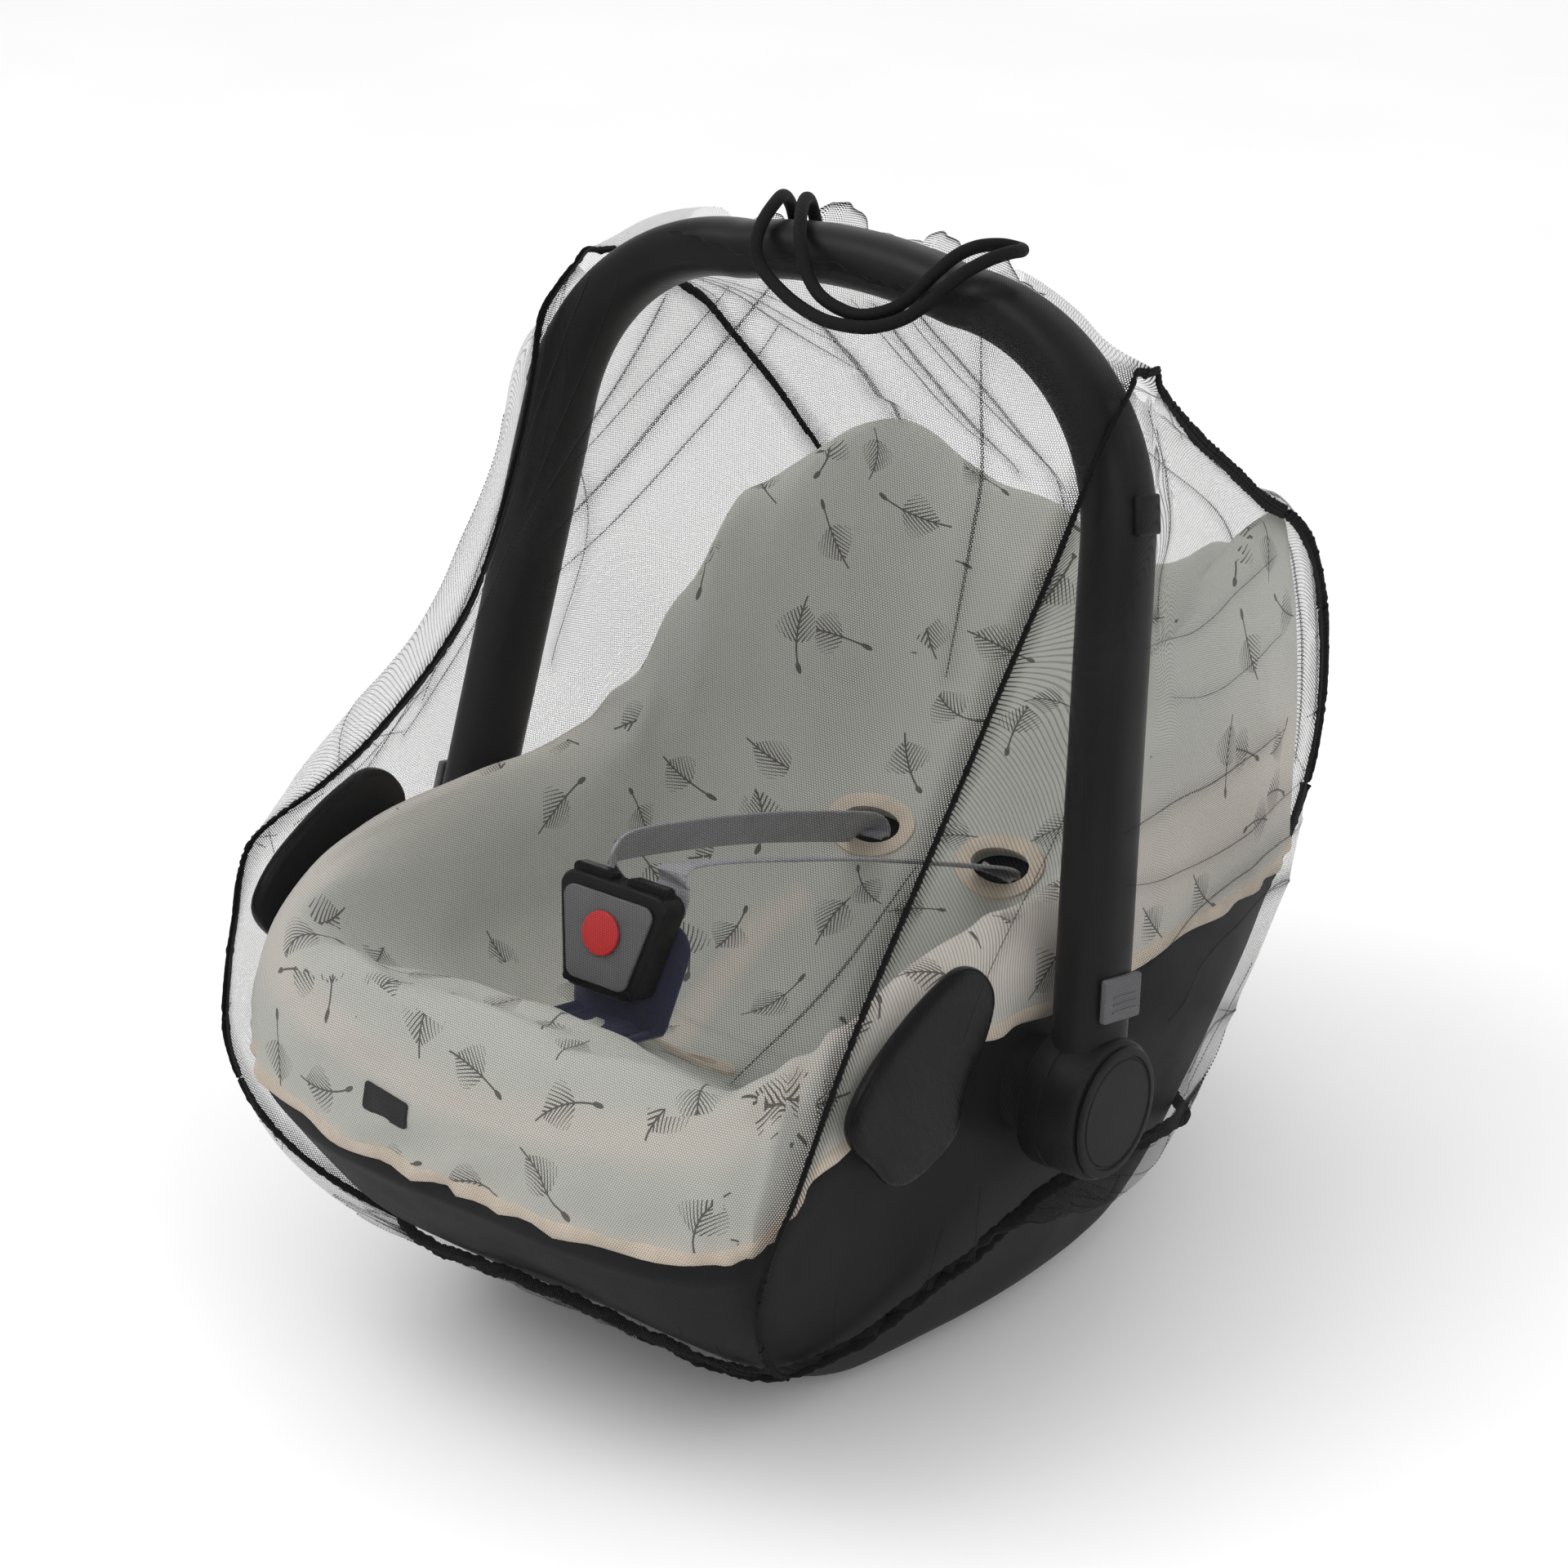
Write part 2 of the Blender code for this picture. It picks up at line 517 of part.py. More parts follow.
def build_cover():
    verts, faces = cover_skin()
    solid, closed = thicken(verts, faces, 0.0, cover_thickness(verts))
    cover = add_object("seat_cover", solid, closed, "cover")
    for side in (1, -1):
        combine(cover, add_oval_tool("slot_tool", side, SLOT_CENTRE, SLOT_HALF, 0.03), "DIFFERENCE")
    combine(cover, add_oval_tool("crotch_tool", 1, CROTCH_CENTRE, CROTCH_HALF, 0.03), "DIFFERENCE")
    return cover


def seat_slope(y):
    """Angle of the seat's middle line at y, for pieces that lie on it."""
    a, b = middle_point(y - 0.01), middle_point(y + 0.01)
    return math.atan2(b[2] - a[2], b[1] - a[1])


def oval_points(side, centre, half, count):
    slope = seat_slope(centre[1])
    middle = np.array(centre) * (side, 1, 1)
    along = np.array([0, math.cos(slope), math.sin(slope)])
    away = np.array([0, -math.sin(slope), math.cos(slope)])
    ring = []
    for k in range(count):
        a = 2 * math.pi * k / count
        ring.append(middle + np.array([1, 0, 0]) * half[0] * math.cos(a) + along * half[1] * math.sin(a))
    return np.array(ring), away


def add_oval_tool(name, side, centre, half, reach):
    count = 14
    ring, away = oval_points(side, centre, half, count)
    verts = np.vstack([ring - away * reach, ring + away * reach])
    faces = [(k, (k + 1) % count, count + (k + 1) % count, count + k) for k in range(count)]
    faces += [tuple(reversed(range(count))), tuple(range(count, 2 * count))]
    ob = add_object(name, verts, faces, "cover", smooth=False)
    fix_outward(ob)
    return ob


def add_trim(name, side, centre, inner, outer):
    """Flat ring round a slot, seated on the cover all the way round."""
    count = 16
    low, away = oval_points(side, centre, inner, count)
    wide, away = oval_points(side, centre, outer, count)
    rings = [low - away * 0.02, low + away * 0.02, wide + away * 0.02, wide - away * 0.02]
    rings = [seat_onto(ring, away, lift) for ring, lift in zip(rings, (TOUCH_GAP, TRIM_THICK, TRIM_THICK, TOUCH_GAP))]
    verts = np.vstack(rings)
    faces = []
    for r in range(4):
        for k in range(count):
            n = (k + 1) % count
            faces.append((r * count + k, r * count + n, (r + 1) % 4 * count + n, (r + 1) % 4 * count + k))
    trim = add_object(name, verts, faces, "trim")
    fix_outward(trim)
    combine(trim, cover_tool(), "DIFFERENCE")


def seat_onto(points, away, lift):
    """Moves each point along the direction until it lies the given lift above the cover's skin."""
    verts, faces = cover_skin()
    moved = []
    for p in points:
        d = verts - p
        side_way = d - np.outer(d @ away, away)
        near = np.argsort(np.linalg.norm(side_way, axis=1))[:3]
        weight = 1 / (np.linalg.norm(side_way[near], axis=1) + 1e-4)
        height = np.sum((d[near] @ away) * weight) / np.sum(weight)
        moved.append(p + away * (height + lift))
    return np.array(moved)


def cover_tool():
    """Solid that fills the cover and a little more, to seat small pieces on it."""
    made = bpy.data.objects.get("cover_tool")
    if made:
        return made
    verts, faces = cover_skin()
    solid, closed = thicken(verts, faces, TOUCH_GAP, 0.008)
    return add_object("cover_tool", solid, closed, "cover")


def shell_points():
    """Inner rows under the cover, then the belly and the flat base, as one ring grid that closes below."""
    verts, faces = cover_skin()
    grid = seat_grid()
    normal = point_normals(verts, faces)
    thick = cover_thickness(verts) + UNDER_ROOM * np.clip(reach_from_edge(verts) / 0.03, 0, 1)
    lookup = {tuple(np.round(v, 6)): (normal[n], thick[n]) for n, v in enumerate(verts)}
    inner = grid.copy()
    for c in range(len(grid)):
        for r in range(SEAT_ROWS + 1):
            n, t = lookup[tuple(np.round(grid[c, r], 6))]
            inner[c, r] = grid[c, r] - n * (t + FIT_GAP)
    for column in inner:               # under the rim the shell stays lower than the cover
        top = int(np.argmax(column[:, 2]))
        heart = (column[top - 2] + column[top + 2]) / 2
        for row, share in ((top - 1, 0.12), (top, 0.25), (top + 1, 0.12)):
            column[row] += (heart - column[row]) * share
    columns = seat_columns()
    rows = []
    for c, column in enumerate(columns):
        top = inner[c, 0]
        belly, base = column[10:13], np.array([column[13], column[14], 0.0])
        out = unit(np.array([belly[0], belly[1] - 0.05, 0]))
        below = top - np.array([0, 0, 0.010])
        side = (top + belly) / 2 + out * 0.006
        points = [below, side, belly, belly * 0.35 + base * 0.65 + np.array([0, 0, -0.006]) + out * 0.010, base]
        outer = curve_through(points, even_steps(points, SHELL_ROWS))
        outer[-1] = base
        middle = np.array([0.0, np.clip(base[1], -0.02, 0.14), 0.0])
        rows.append(np.vstack([inner[c, ::-1], outer, [middle]]))
    return np.array(rows)


def build_shell():
    grid = shell_points()
    verts, faces = merged(grid.reshape(-1, 3), ring_faces(len(grid), grid.shape[1] - 1, turned=True))
    shell = add_object("carrier_shell", verts, faces, "shell")
    for side in (1, -1):
        boss = add_drum("boss_tool", BOSS_RADIUS, 0.150, HUB_INNER - TOUCH_GAP, side, "shell", 20)
        combine(shell, boss, "UNION")
    return shell


def shell_tool():
    """The shell a little swollen, to seat the belt guides on its side."""
    made = bpy.data.objects.get("shell_tool")
    if made:
        return made
    grid = shell_points()
    verts, faces = merged(grid.reshape(-1, 3), ring_faces(len(grid), grid.shape[1] - 1, turned=True))
    verts = verts + point_normals(verts, faces) * 2 * TOUCH_GAP
    return add_object("shell_tool", verts, faces, "shell")


def build_guide(side, tag):
    """Glossy horn that keeps a belt on the seat's side; its foot reaches in to the shell under the skirt."""
    outline = np.array(BELT_GUIDE)
    count = len(outline)
    verts = [(side * x, y, z) for x in (GUIDE_INNER, GUIDE_OUTER) for y, z in outline]
    faces = [(k, (k + 1) % count, count + (k + 1) % count, count + k) for k in range(count)]
    faces += [tuple(reversed(range(count))), tuple(range(count, 2 * count))]
    guide = add_object(f"belt_guide_{tag}", verts, faces, "handle", smooth=False)
    fix_outward(guide)
    low, high = (side * 0.148, -0.132, 0.174), (side * (GUIDE_OUTER - 0.001), -0.100, 0.190)
    foot = add_object("foot_tool", *block_points(low, high), "handle", smooth=False)
    fix_outward(foot)
    combine(guide, foot, "UNION")
    combine(guide, shell_tool(), "DIFFERENCE")


def block_points(low, high):
    verts = [(x, y, z) for x in (low[0], high[0]) for y in (low[1], high[1]) for z in (low[2], high[2])]
    faces = [(0, 1, 3, 2), (4, 6, 7, 5), (0, 4, 5, 1), (2, 3, 7, 6), (0, 2, 6, 4), (1, 5, 7, 3)]
    return verts, faces


# Harness

def buckle_frame():
    foot = np.array(BUCKLE_FOOT)
    up = np.array([0, math.sin(BUCKLE_LEAN), math.cos(BUCKLE_LEAN)])
    face = np.array([0, -math.cos(BUCKLE_LEAN), math.sin(BUCKLE_LEAN)])
    return foot, up, face


def add_plate(name, outline, low, high, finish):
    """Flat piece in the buckle's own plane: outline across and up, between two heights towards the viewer."""
    foot, up, face = buckle_frame()
    count = len(outline)
    verts = []
    for height in (low, high):
        for across, along in outline:
            verts.append(foot + np.array([across, 0, 0]) + up * along + face * height)
    faces = [(k, (k + 1) % count, count + (k + 1) % count, count + k) for k in range(count)]
    faces += [tuple(reversed(range(count))), tuple(range(count, 2 * count))]
    ob = add_object(name, verts, faces, finish, smooth=False)
    fix_outward(ob)
    return ob


def rounded(half_top, half_low, low, high, corner=0.008, count=4):
    """Rounded outline, wider at one end."""
    outline = []
    corners = [(half_top, high, 0), (-half_top, high, 1), (-half_low, low, 2), (half_low, low, 3)]
    for x, y, quarter in corners:
        cx = x - math.copysign(corner, x)
        cy = y - corner if y == high else y + corner
        for k in range(count + 1):
            a = math.pi / 2 * (quarter + k / count)
            outline.append((cx + corner * math.cos(a), cy + corner * math.sin(a)))
    return outline


def circle(radius, count, centre=(0.0, 0.0)):
    turn = 2 * math.pi / count
    return [(centre[0] + radius * math.cos(k * turn), centre[1] + radius * math.sin(k * turn)) for k in range(count)]


def build_buckle():
    wide, tall, thick = BUCKLE_SIZE
    add_plate("buckle_body", rounded(wide / 2, wide * 0.36, 0.0, tall), 0.0, thick, "handle")
    face = thick + TOUCH_GAP
    add_plate("buckle_plate", rounded(0.024, 0.017, 0.006, 0.048, 0.006, 3), face, face + 0.0025, "grey")
    top = face + 0.0025 + TOUCH_GAP
    add_plate("buckle_button", circle(0.0115, 20, (0.0, 0.031)), top, top + 0.002, "red")
    pad = add_plate("crotch_pad", rounded(0.036, 0.030, -0.023, 0.040, 0.014, 4), -0.010, -TOUCH_GAP, "navy")
    combine(pad, cover_tool(), "DIFFERENCE")


def build_strap(side, tag):
    """Webbing from its slot in the backrest down to the back of the buckle."""
    foot, up, face = buckle_frame()
    slope = seat_slope(SLOT_CENTRE[1])
    along = np.array([0, math.cos(slope), math.sin(slope)])
    away = np.array([0, -math.sin(slope), math.cos(slope)])
    slot = np.array(SLOT_CENTRE) * (side, 1, 1) - along * STRAP_SEAT
    aside = np.array([side * 0.019, 0.0, 0.0])
    start, lip = slot - away * 0.003, slot + away * 0.004
    top = foot + aside + up * 0.068 - face * 0.014
    bend = foot + aside + up * 0.058 - face * 0.005
    end = foot + aside + up * 0.045 - face * (STRAP_THICK / 2 + TOUCH_GAP * 2)
    middle = (lip + top) / 2 + np.array([0, 0, 0.004])
    line = curve_through([start, lip, middle, top, bend, end], steps(20))
    way = unit(np.gradient(line, axis=0))
    across = unit(np.array([1.0, 0, 0]) - way * way[:, :1])
    turn = unit(np.cross(way, across))
    verts = []
    for p, a, n in zip(line, across, turn):
        for wide, lift in ((-0.5, -0.5), (0.5, -0.5), (0.5, 0.5), (-0.5, 0.5)):
            verts.append(p + a * wide * STRAP_WIDTH + n * lift * STRAP_THICK)
    faces = []
    for r in range(len(line) - 1):
        for k in range(4):
            n = (k + 1) % 4
            faces.append((r * 4 + k, r * 4 + n, (r + 1) * 4 + n, (r + 1) * 4 + k))
    faces += [(3, 2, 1, 0), tuple(len(verts) - 4 + k for k in range(4))]
    strap = add_object(f"harness_strap_{tag}", verts, faces, "webbing", smooth=False)
    fix_outward(strap)


def build_label():
    """Small bare label sewn on the apron at the foot end."""
    across, tall, thick = LABEL_SIZE
    centre = np.array([-0.046, -0.226, 0.178])
    tilt = math.radians(-6)
    verts = []
    for y in (-0.004, 0.004):
        for x, z in ((-across / 2, -tall / 2), (across / 2, -tall / 2), (across / 2, tall / 2), (-across / 2, tall / 2)):
            verts.append(centre + (x * math.cos(tilt) - z * math.sin(tilt), y, x * math.sin(tilt) + z * math.cos(tilt)))
    faces = [(0, 1, 2, 3), (7, 6, 5, 4), (0, 4, 5, 1), (1, 5, 6, 2), (2, 6, 7, 3), (3, 7, 4, 0)]
    label = add_object("label", verts, faces, "label", smooth=False)
    fix_outward(label)
    combine(label, cover_tool(), "DIFFERENCE")


# Net

def net_row(middle, right, left, square):
    """Points across the middle panel, from the left seam to the right one."""
    middle = np.array([0.0, *middle])
    out = []
    for seam in (np.array(left), np.array(right)):
        half = []
        for share in (0.0, 0.3, 0.6, 0.85, 1.0):
            across = share ** square
            half.append(np.array([seam[0] * share, middle[1] + (seam[1] - middle[1]) * across,
                                  middle[2] + (seam[2] - middle[2]) * across]))
        out.append(half)
    return out[0][:0:-1] + out[1]


def ridge_row(lift, depth, corner, slot_lift):
    """Points across the net where it passes over the handle, or along the edge of the grip's opening."""
    out = []
    for side in (-1, 1):
        half = []
        for share in (0.0, 0.3, 0.6, 0.85):
            up = slot_lift if share < 0.45 else lift
            half.append(arch_point(share * 0.1600, up, depth) * (side, 1, 1))
        half.append(np.array(corner) * (side, 1, 1))
        out.append(half)
    return out[0][:0:-1] + out[1]


def table_row(row):
    return net_row(row[0:2], row[2:5], row[5:8], row[8])


def net_middle_grid():
    """Points of the middle panel: hem at the foot end, up over the handle, down to the hem at the head end."""
    over = TUBE_THICK / 2 + 0.0036
    before = TUBE_DEPTH_GRIP / 2 + 0.0042
    front = [table_row(r) for r in NET_FRONT] + [ridge_row(0.006, -before, CORNER_FRONT, -0.006)]
    top = [ridge_row(over, 0.0, CORNER_TOP, over)]
    back = [ridge_row(0.006, before, CORNER_BACK, 0.008)] + [table_row(r) for r in NET_BACK]
    front = curve_through(np.array(front), even_steps(np.array(front)[:, 4], NET_ROWS))
    back = curve_through(np.array(back), even_steps(np.array(back)[:, 4], NET_ROWS))
    ridge = np.array([front[-1], np.array(top[0]), back[0]])
    between = [(ridge[0] + ridge[1]) / 2, (ridge[1] + ridge[2]) / 2]
    for n, push in zip((0, 1), (-1, 1)):
        lean = np.array([0, push * math.cos(HANDLE_LEAN), -push * math.sin(HANDLE_LEAN)])
        between[n] = between[n] + lean * 0.0030 + np.array([0, 0, 0.0045])
    rows = np.concatenate([front, [between[0]], [ridge[1]], [between[1]], back])
    shares = (steps(2 * NET_HALF_COLUMNS) * 2 - 1)
    places = np.interp(shares, [-1, -0.85, -0.6, -0.3, 0, 0.3, 0.6, 0.85, 1], steps(8))
    grid = np.array([curve_through(row, places) for row in rows])
    return grid, shares


def fold_height(panel, across, along):
    total = 0.0
    for name, a0, b0, a1, b1, height, half in NET_FOLDS:
        if name != panel:
            continue
        way = np.array([a1 - a0, b1 - b0])
        t = np.clip(((across - a0) * way[0] + (along - b0) * way[1]) / (way @ way), 0, 1)
        off = math.hypot(across - a0 - t * way[0], along - b0 - t * way[1])
        ends = math.sin(math.pi * min(max(t, 0.04), 0.96)) ** 0.5
        total += height * ends * math.exp(-(off / half) ** 2)
    return total


def grid_faces(rows, columns, keep=None):
    faces = []
    for r in range(rows - 1):
        for c in range(columns - 1):
            if keep is None or keep(r, c):
                a = r * columns + c
                faces += [(a, a + 1, a + columns + 1), (a, a + columns + 1, a + columns)]
    return faces


def carrier_trees():
    """Search trees of the built pieces that the net is drawn over, each with the gap to keep."""
    graph = bpy.context.evaluated_depsgraph_get()
    starts = ("carrier_shell", "seat_cover", "handle", "hub_cap", "release", "corner_button", "belt_guide")
    found = [ob for ob in bpy.context.scene.objects if ob.name.startswith(starts)]
    gaps = [DRAPE_GAP * (1.2 if ob.name.startswith("belt_guide") else 1) for ob in found]
    return [(BVHTree.FromObject(ob, graph), gap) for ob, gap in zip(found, gaps)]


def too_near(place, trees):
    """Whether a place lies inside a piece of the carrier or closer to it than the drape's gap."""
    for tree, gap in trees:
        near, normal, face, far = tree.find_nearest(place, 0.04)
        if near is None:
            continue
        if far < gap:
            return True
        crossed = 0
        start = place
        hit = tree.ray_cast(start, PROBE)[0]
        while hit is not None and crossed < 60:
            crossed += 1
            start = hit + PROBE * 1e-6
            hit = tree.ray_cast(start, PROBE)[0]
        if crossed % 2:
            return True
    return False


def outward_shift(place, away, trees):
    """How far a place must move along the cloth's outward direction to clear the carrier."""
    for step in range(40):
        shift = away * step * 0.0005
        if not too_near(Vector(place + shift), trees):
            return shift
    return away * 0.0


def spread(shift):
    """Lets the cloth round a place that was moved follow it, so that no step shows."""
    padded = np.pad(shift, ((1, 1), (1, 1), (0, 0)), mode="edge")
    near = (padded[:-2, 1:-1] + padded[2:, 1:-1] + padded[1:-1, :-2] + padded[1:-1, 2:]) / 4
    grows = np.linalg.norm(near, axis=2, keepdims=True) > np.linalg.norm(shift, axis=2, keepdims=True)
    return np.where(grows, (shift + near) / 2, shift)


def draw_over(grid, trees, outward):
    """Moves the cloth out until its points, and places along its edges, clear the carrier."""
    rows, columns = grid.shape[:2]
    pairs = [((r, c), (r + 1, c)) for r in range(rows - 1) for c in range(columns)]
    pairs += [((r, c), (r, c + 1)) for r in range(rows) for c in range(columns - 1)]
    pairs += [((r, c), (r + 1, c + 1)) for r in range(rows - 1) for c in range(columns - 1)]
    normal = point_normals(grid.reshape(-1, 3), grid_faces(rows, columns)).reshape(grid.shape) * outward
    start = grid.copy()
    for r in range(rows):
        for c in range(columns):
            grid[r, c] += outward_shift(grid[r, c], normal[r, c], trees)
    for turn in range(DRAPE_TURNS):
        if turn:
            grid = start + spread(grid - start)
        for a, b in pairs:
            for share in (0.25, 0.5, 0.75):
                place = grid[a] * (1 - share) + grid[b] * share
                shift = outward_shift(place, unit(normal[a] + normal[b]), trees)
                grid[a] += shift
                grid[b] += shift
    return grid


def build_net_middle(grid, shares):
    rows, columns = grid.shape[:2]
    first, last = NET_ROWS, NET_ROWS + 4
    slot = [abs(x) < GRIP_SLOT_HALF for x in (grid[NET_ROWS + 2, :-1, 0] + grid[NET_ROWS + 2, 1:, 0]) / 2]

    def keep(r, c):
        return not (first <= r < last and slot[c])

    faces = grid_faces(rows, columns, keep)
    flat = grid.reshape(-1, 3)
    normal = point_normals(flat, grid_faces(rows, columns)).reshape(grid.shape)
    for r in range(rows):
        for c in range(columns):
            if r < NET_ROWS:
                lift = fold_height("front", shares[c], r / NET_ROWS)
                hem = max(0.0, 1 - r / 1.5)
            elif r > NET_ROWS + 4:
                lift = fold_height("back", shares[c], (rows - 1 - r) / NET_ROWS)
                hem = max(0.0, 1 - (rows - 1 - r) / 1.5)
            else:
                lift = hem = 0.0
            edge = 1 - abs(shares[c]) ** 6
            grid[r, c] += normal[r, c] * (lift * edge + HEM_GATHER * hem * (c % 2) * edge)
    trim_columns(grid)
    solid, closed = thicken(grid.reshape(-1, 3), faces, NET_THICK / 2, NET_THICK / 2)
    add_object("net_middle", solid, closed, "net")


def toward(start, other, far):
    return start + unit(other - start) * far


def trim_columns(grid):
    """Draws the outer columns back from the seam line, to leave room for the tape."""
    back = TAPE_WIDTH / 2 + TAPE_CLEAR
    for edge, inner in ((0, 1), (-1, -2)):
        grid[:, edge] = toward(grid[:, edge].copy(), grid[:, inner], back)


def net_side_grid(side, middle):
    """Points of a side panel: rows from the hem up to the corner, columns from the front seam to the back one."""
    seam = middle[:, -1] if side > 0 else middle[:, 0]
    front = seam[:NET_ROWS + 1]
    back = seam[NET_ROWS + 4:][::-1]
    table = np.array(NET_SIDE)
    lines = [table[:, 1:4] * (side, 1, 1), table[:, 4:7] * (side, 1, 1), table[:, 7:10] * (side, 1, 1)]
    rows = []
    for r in range(NET_ROWS + 1):
        down = 1 - r / NET_ROWS
        place = np.interp(down, table[:, 0], steps(len(table) - 1))
        across = [front[r]] + [curve_through(line, [place])[0] for line in lines] + [back[r]]
        rows.append(curve_through(np.array(across), steps(SIDE_COLUMNS)))
    return np.array(rows)


def build_net_side(side, tag, grid):
    grid = grid.copy()
    rows, columns = grid.shape[:2]
    normal = point_normals(grid.reshape(-1, 3), grid_faces(rows, columns)).reshape(grid.shape)
    for r in range(rows):
        for c in range(columns):
            across = c / (columns - 1)
            edge = math.sin(math.pi * across) ** 0.5
            lift = fold_height("side", across, r / (rows - 1)) + HEM_GATHER * max(0.0, 1 - r / 1.5) * (c % 2)
            grid[r, c] += normal[r, c] * lift * edge * np.sign(normal[r, c][0] * side)
    trim_columns(grid)
    drop = TAPE_WIDTH / 2 + TAPE_CLEAR
    grid[-1] = np.array([toward(p, q, drop) for p, q in zip(grid[-1].copy(), grid[-2])])
    solid, closed = thicken(grid.reshape(-1, 3), grid_faces(rows, columns), NET_THICK / 2, NET_THICK / 2)
    ob = add_object(f"net_side_{tag}", solid, closed, "net")
    fix_outward(ob)


def build_tape(side, tag, middle, sides):
    """Dense binding over a seam, from the hem at the foot end over the handle's bend to the hem at the head end."""
    edge, inner = (-1, -2) if side > 0 else (0, 1)
    seam = middle[:, edge]
    inward = unit(middle[:, inner] - seam)
    outward = np.zeros_like(seam)
    outward[:NET_ROWS + 1] = unit(sides[:, 1] - sides[:, 0])
    outward[NET_ROWS + 4:] = unit(sides[:, -2] - sides[:, -1])[::-1]
    outward[NET_ROWS + 1:NET_ROWS + 4] = (0, 0, -1)
    outward[NET_ROWS] = outward[NET_ROWS + 4] = (0, 0, -1)
    half = TAPE_WIDTH / 2
    strip = np.stack([seam + inward * half, seam, seam + outward * half], axis=1)
    if side < 0:
        strip = strip[:, ::-1]
    faces = grid_faces(len(strip), 3)
    solid, closed = thicken(strip.reshape(-1, 3), faces, TAPE_THICK / 2, TAPE_THICK / 2)
    ob = add_object(f"seam_tape_{tag}", solid, closed, "seam")
    fix_outward(ob)


def build_net():
    trees = carrier_trees()
    middle, shares = net_middle_grid()
    middle = draw_over(middle, trees, 1)
    for side, tag in ((1, "right"), (-1, "left")):
        sides = draw_over(net_side_grid(side, middle), trees, side)
        sides[:, 0], sides[:, -1] = net_side_grid(side, middle)[:, 0], net_side_grid(side, middle)[:, -1]
        build_net_side(side, tag, sides)
        build_tape(side, tag, middle, sides)
    build_net_middle(middle, shares)


def build_tie():
    count = 62
    line = curve_through(TIE_ROUTE, even_steps(TIE_ROUTE, count - 1))
    data = bpy.data.curves.new("tie_cord", "CURVE")
    data.dimensions = "3D"
    data.bevel_depth = CORD_THICK / 2
    data.bevel_resolution = 2
    data.use_fill_caps = True
    spline = data.splines.new("POLY")
    spline.points.add(count - 1)
    for point, place in zip(spline.points, line):
        point.co = (*place, 1)
    data.materials.append(material("elastic"))
    ob = bpy.data.objects.new("tie_cord", data)
    bpy.context.scene.collection.objects.link(ob)


def main():
    clear_scene()
    build_shell()
    build_cover()
    build_handle()
    for side, tag in ((1, "right"), (-1, "left")):
        build_hub_trim(side, tag)
        build_guide(side, tag)
        build_strap(side, tag)
        add_trim(f"slot_trim_{tag}", side, SLOT_CENTRE, SLOT_HALF, TRIM_HALF)
    add_trim("crotch_trim", 1, CROTCH_CENTRE, CROTCH_HALF, CROTCH_TRIM_HALF)
    build_buckle()
    build_label()
    build_net()
    build_tie()


main()
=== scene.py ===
import json
import math
from contextlib import contextmanager

import bmesh
import bpy
import numpy as np
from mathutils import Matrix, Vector, noise
from mathutils.bvhtree import BVHTree
from mathutils.kdtree import KDTree

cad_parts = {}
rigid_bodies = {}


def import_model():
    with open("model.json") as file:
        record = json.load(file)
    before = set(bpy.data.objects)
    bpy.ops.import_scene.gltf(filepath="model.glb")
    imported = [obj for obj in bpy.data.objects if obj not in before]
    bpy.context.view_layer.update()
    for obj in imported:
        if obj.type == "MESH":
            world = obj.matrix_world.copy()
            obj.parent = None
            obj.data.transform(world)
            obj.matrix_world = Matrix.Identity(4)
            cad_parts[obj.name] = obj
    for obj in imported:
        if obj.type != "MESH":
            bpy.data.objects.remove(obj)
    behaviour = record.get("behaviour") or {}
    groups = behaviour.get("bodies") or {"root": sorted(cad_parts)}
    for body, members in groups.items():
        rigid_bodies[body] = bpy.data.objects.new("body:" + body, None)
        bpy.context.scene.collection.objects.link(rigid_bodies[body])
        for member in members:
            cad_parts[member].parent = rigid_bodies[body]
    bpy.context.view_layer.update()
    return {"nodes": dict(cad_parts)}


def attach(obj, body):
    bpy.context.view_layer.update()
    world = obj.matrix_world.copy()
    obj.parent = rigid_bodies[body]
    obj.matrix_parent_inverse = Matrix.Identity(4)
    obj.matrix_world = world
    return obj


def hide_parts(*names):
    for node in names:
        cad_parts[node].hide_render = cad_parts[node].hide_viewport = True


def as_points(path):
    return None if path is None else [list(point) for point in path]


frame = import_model()
print("stage: frame loaded")

scene = bpy.context.scene
bothSides = ((1, "right"), (-1, "left"))  # sign of x and the name's end


def carrierTrees():  # what the net is drawn over, and how far off it stays
    starts = ("carrier_shell", "seat_cover", "handle", "hub_cap", "release", "corner_button", "belt_guide")
    graph = bpy.context.evaluated_depsgraph_get()
    found = [(name, ob) for name, ob in sorted(frame["nodes"].items()) if name.startswith(starts)]
    return [(BVHTree.FromObject(ob, graph), 0.0054 if name.startswith("belt_guide") else 0.0045) for name, ob in found]


trees = carrierTrees()


# Camera, from the photo's angle
cameraView = {
    "target": (0.0002, 0.025, 0.27),
    "toCamera": (0.5583, -0.7232, 0.4065),
    "distance": 2.0003,
    "lens": 90.06,
    "sensor": 36.0,
}


def addCamera(size):
    data = bpy.data.cameras.new("camera")
    data.lens = size["lens"]
    data.sensor_width = size["sensor"]
    data.clip_end = 50
    camera = bpy.data.objects.new("camera", data)
    back = Vector(size["toCamera"]).normalized()
    camera.location = Vector(size["target"]) + back * size["distance"]
    camera.rotation_euler = back.to_track_quat("Z", "Y").to_euler()
    scene.collection.objects.link(camera)
    scene.camera = camera


addCamera(cameraView)


# Curves and grids
def limit(value):  # keeps it between 0 and 1
    return np.clip(value, 0, 1)


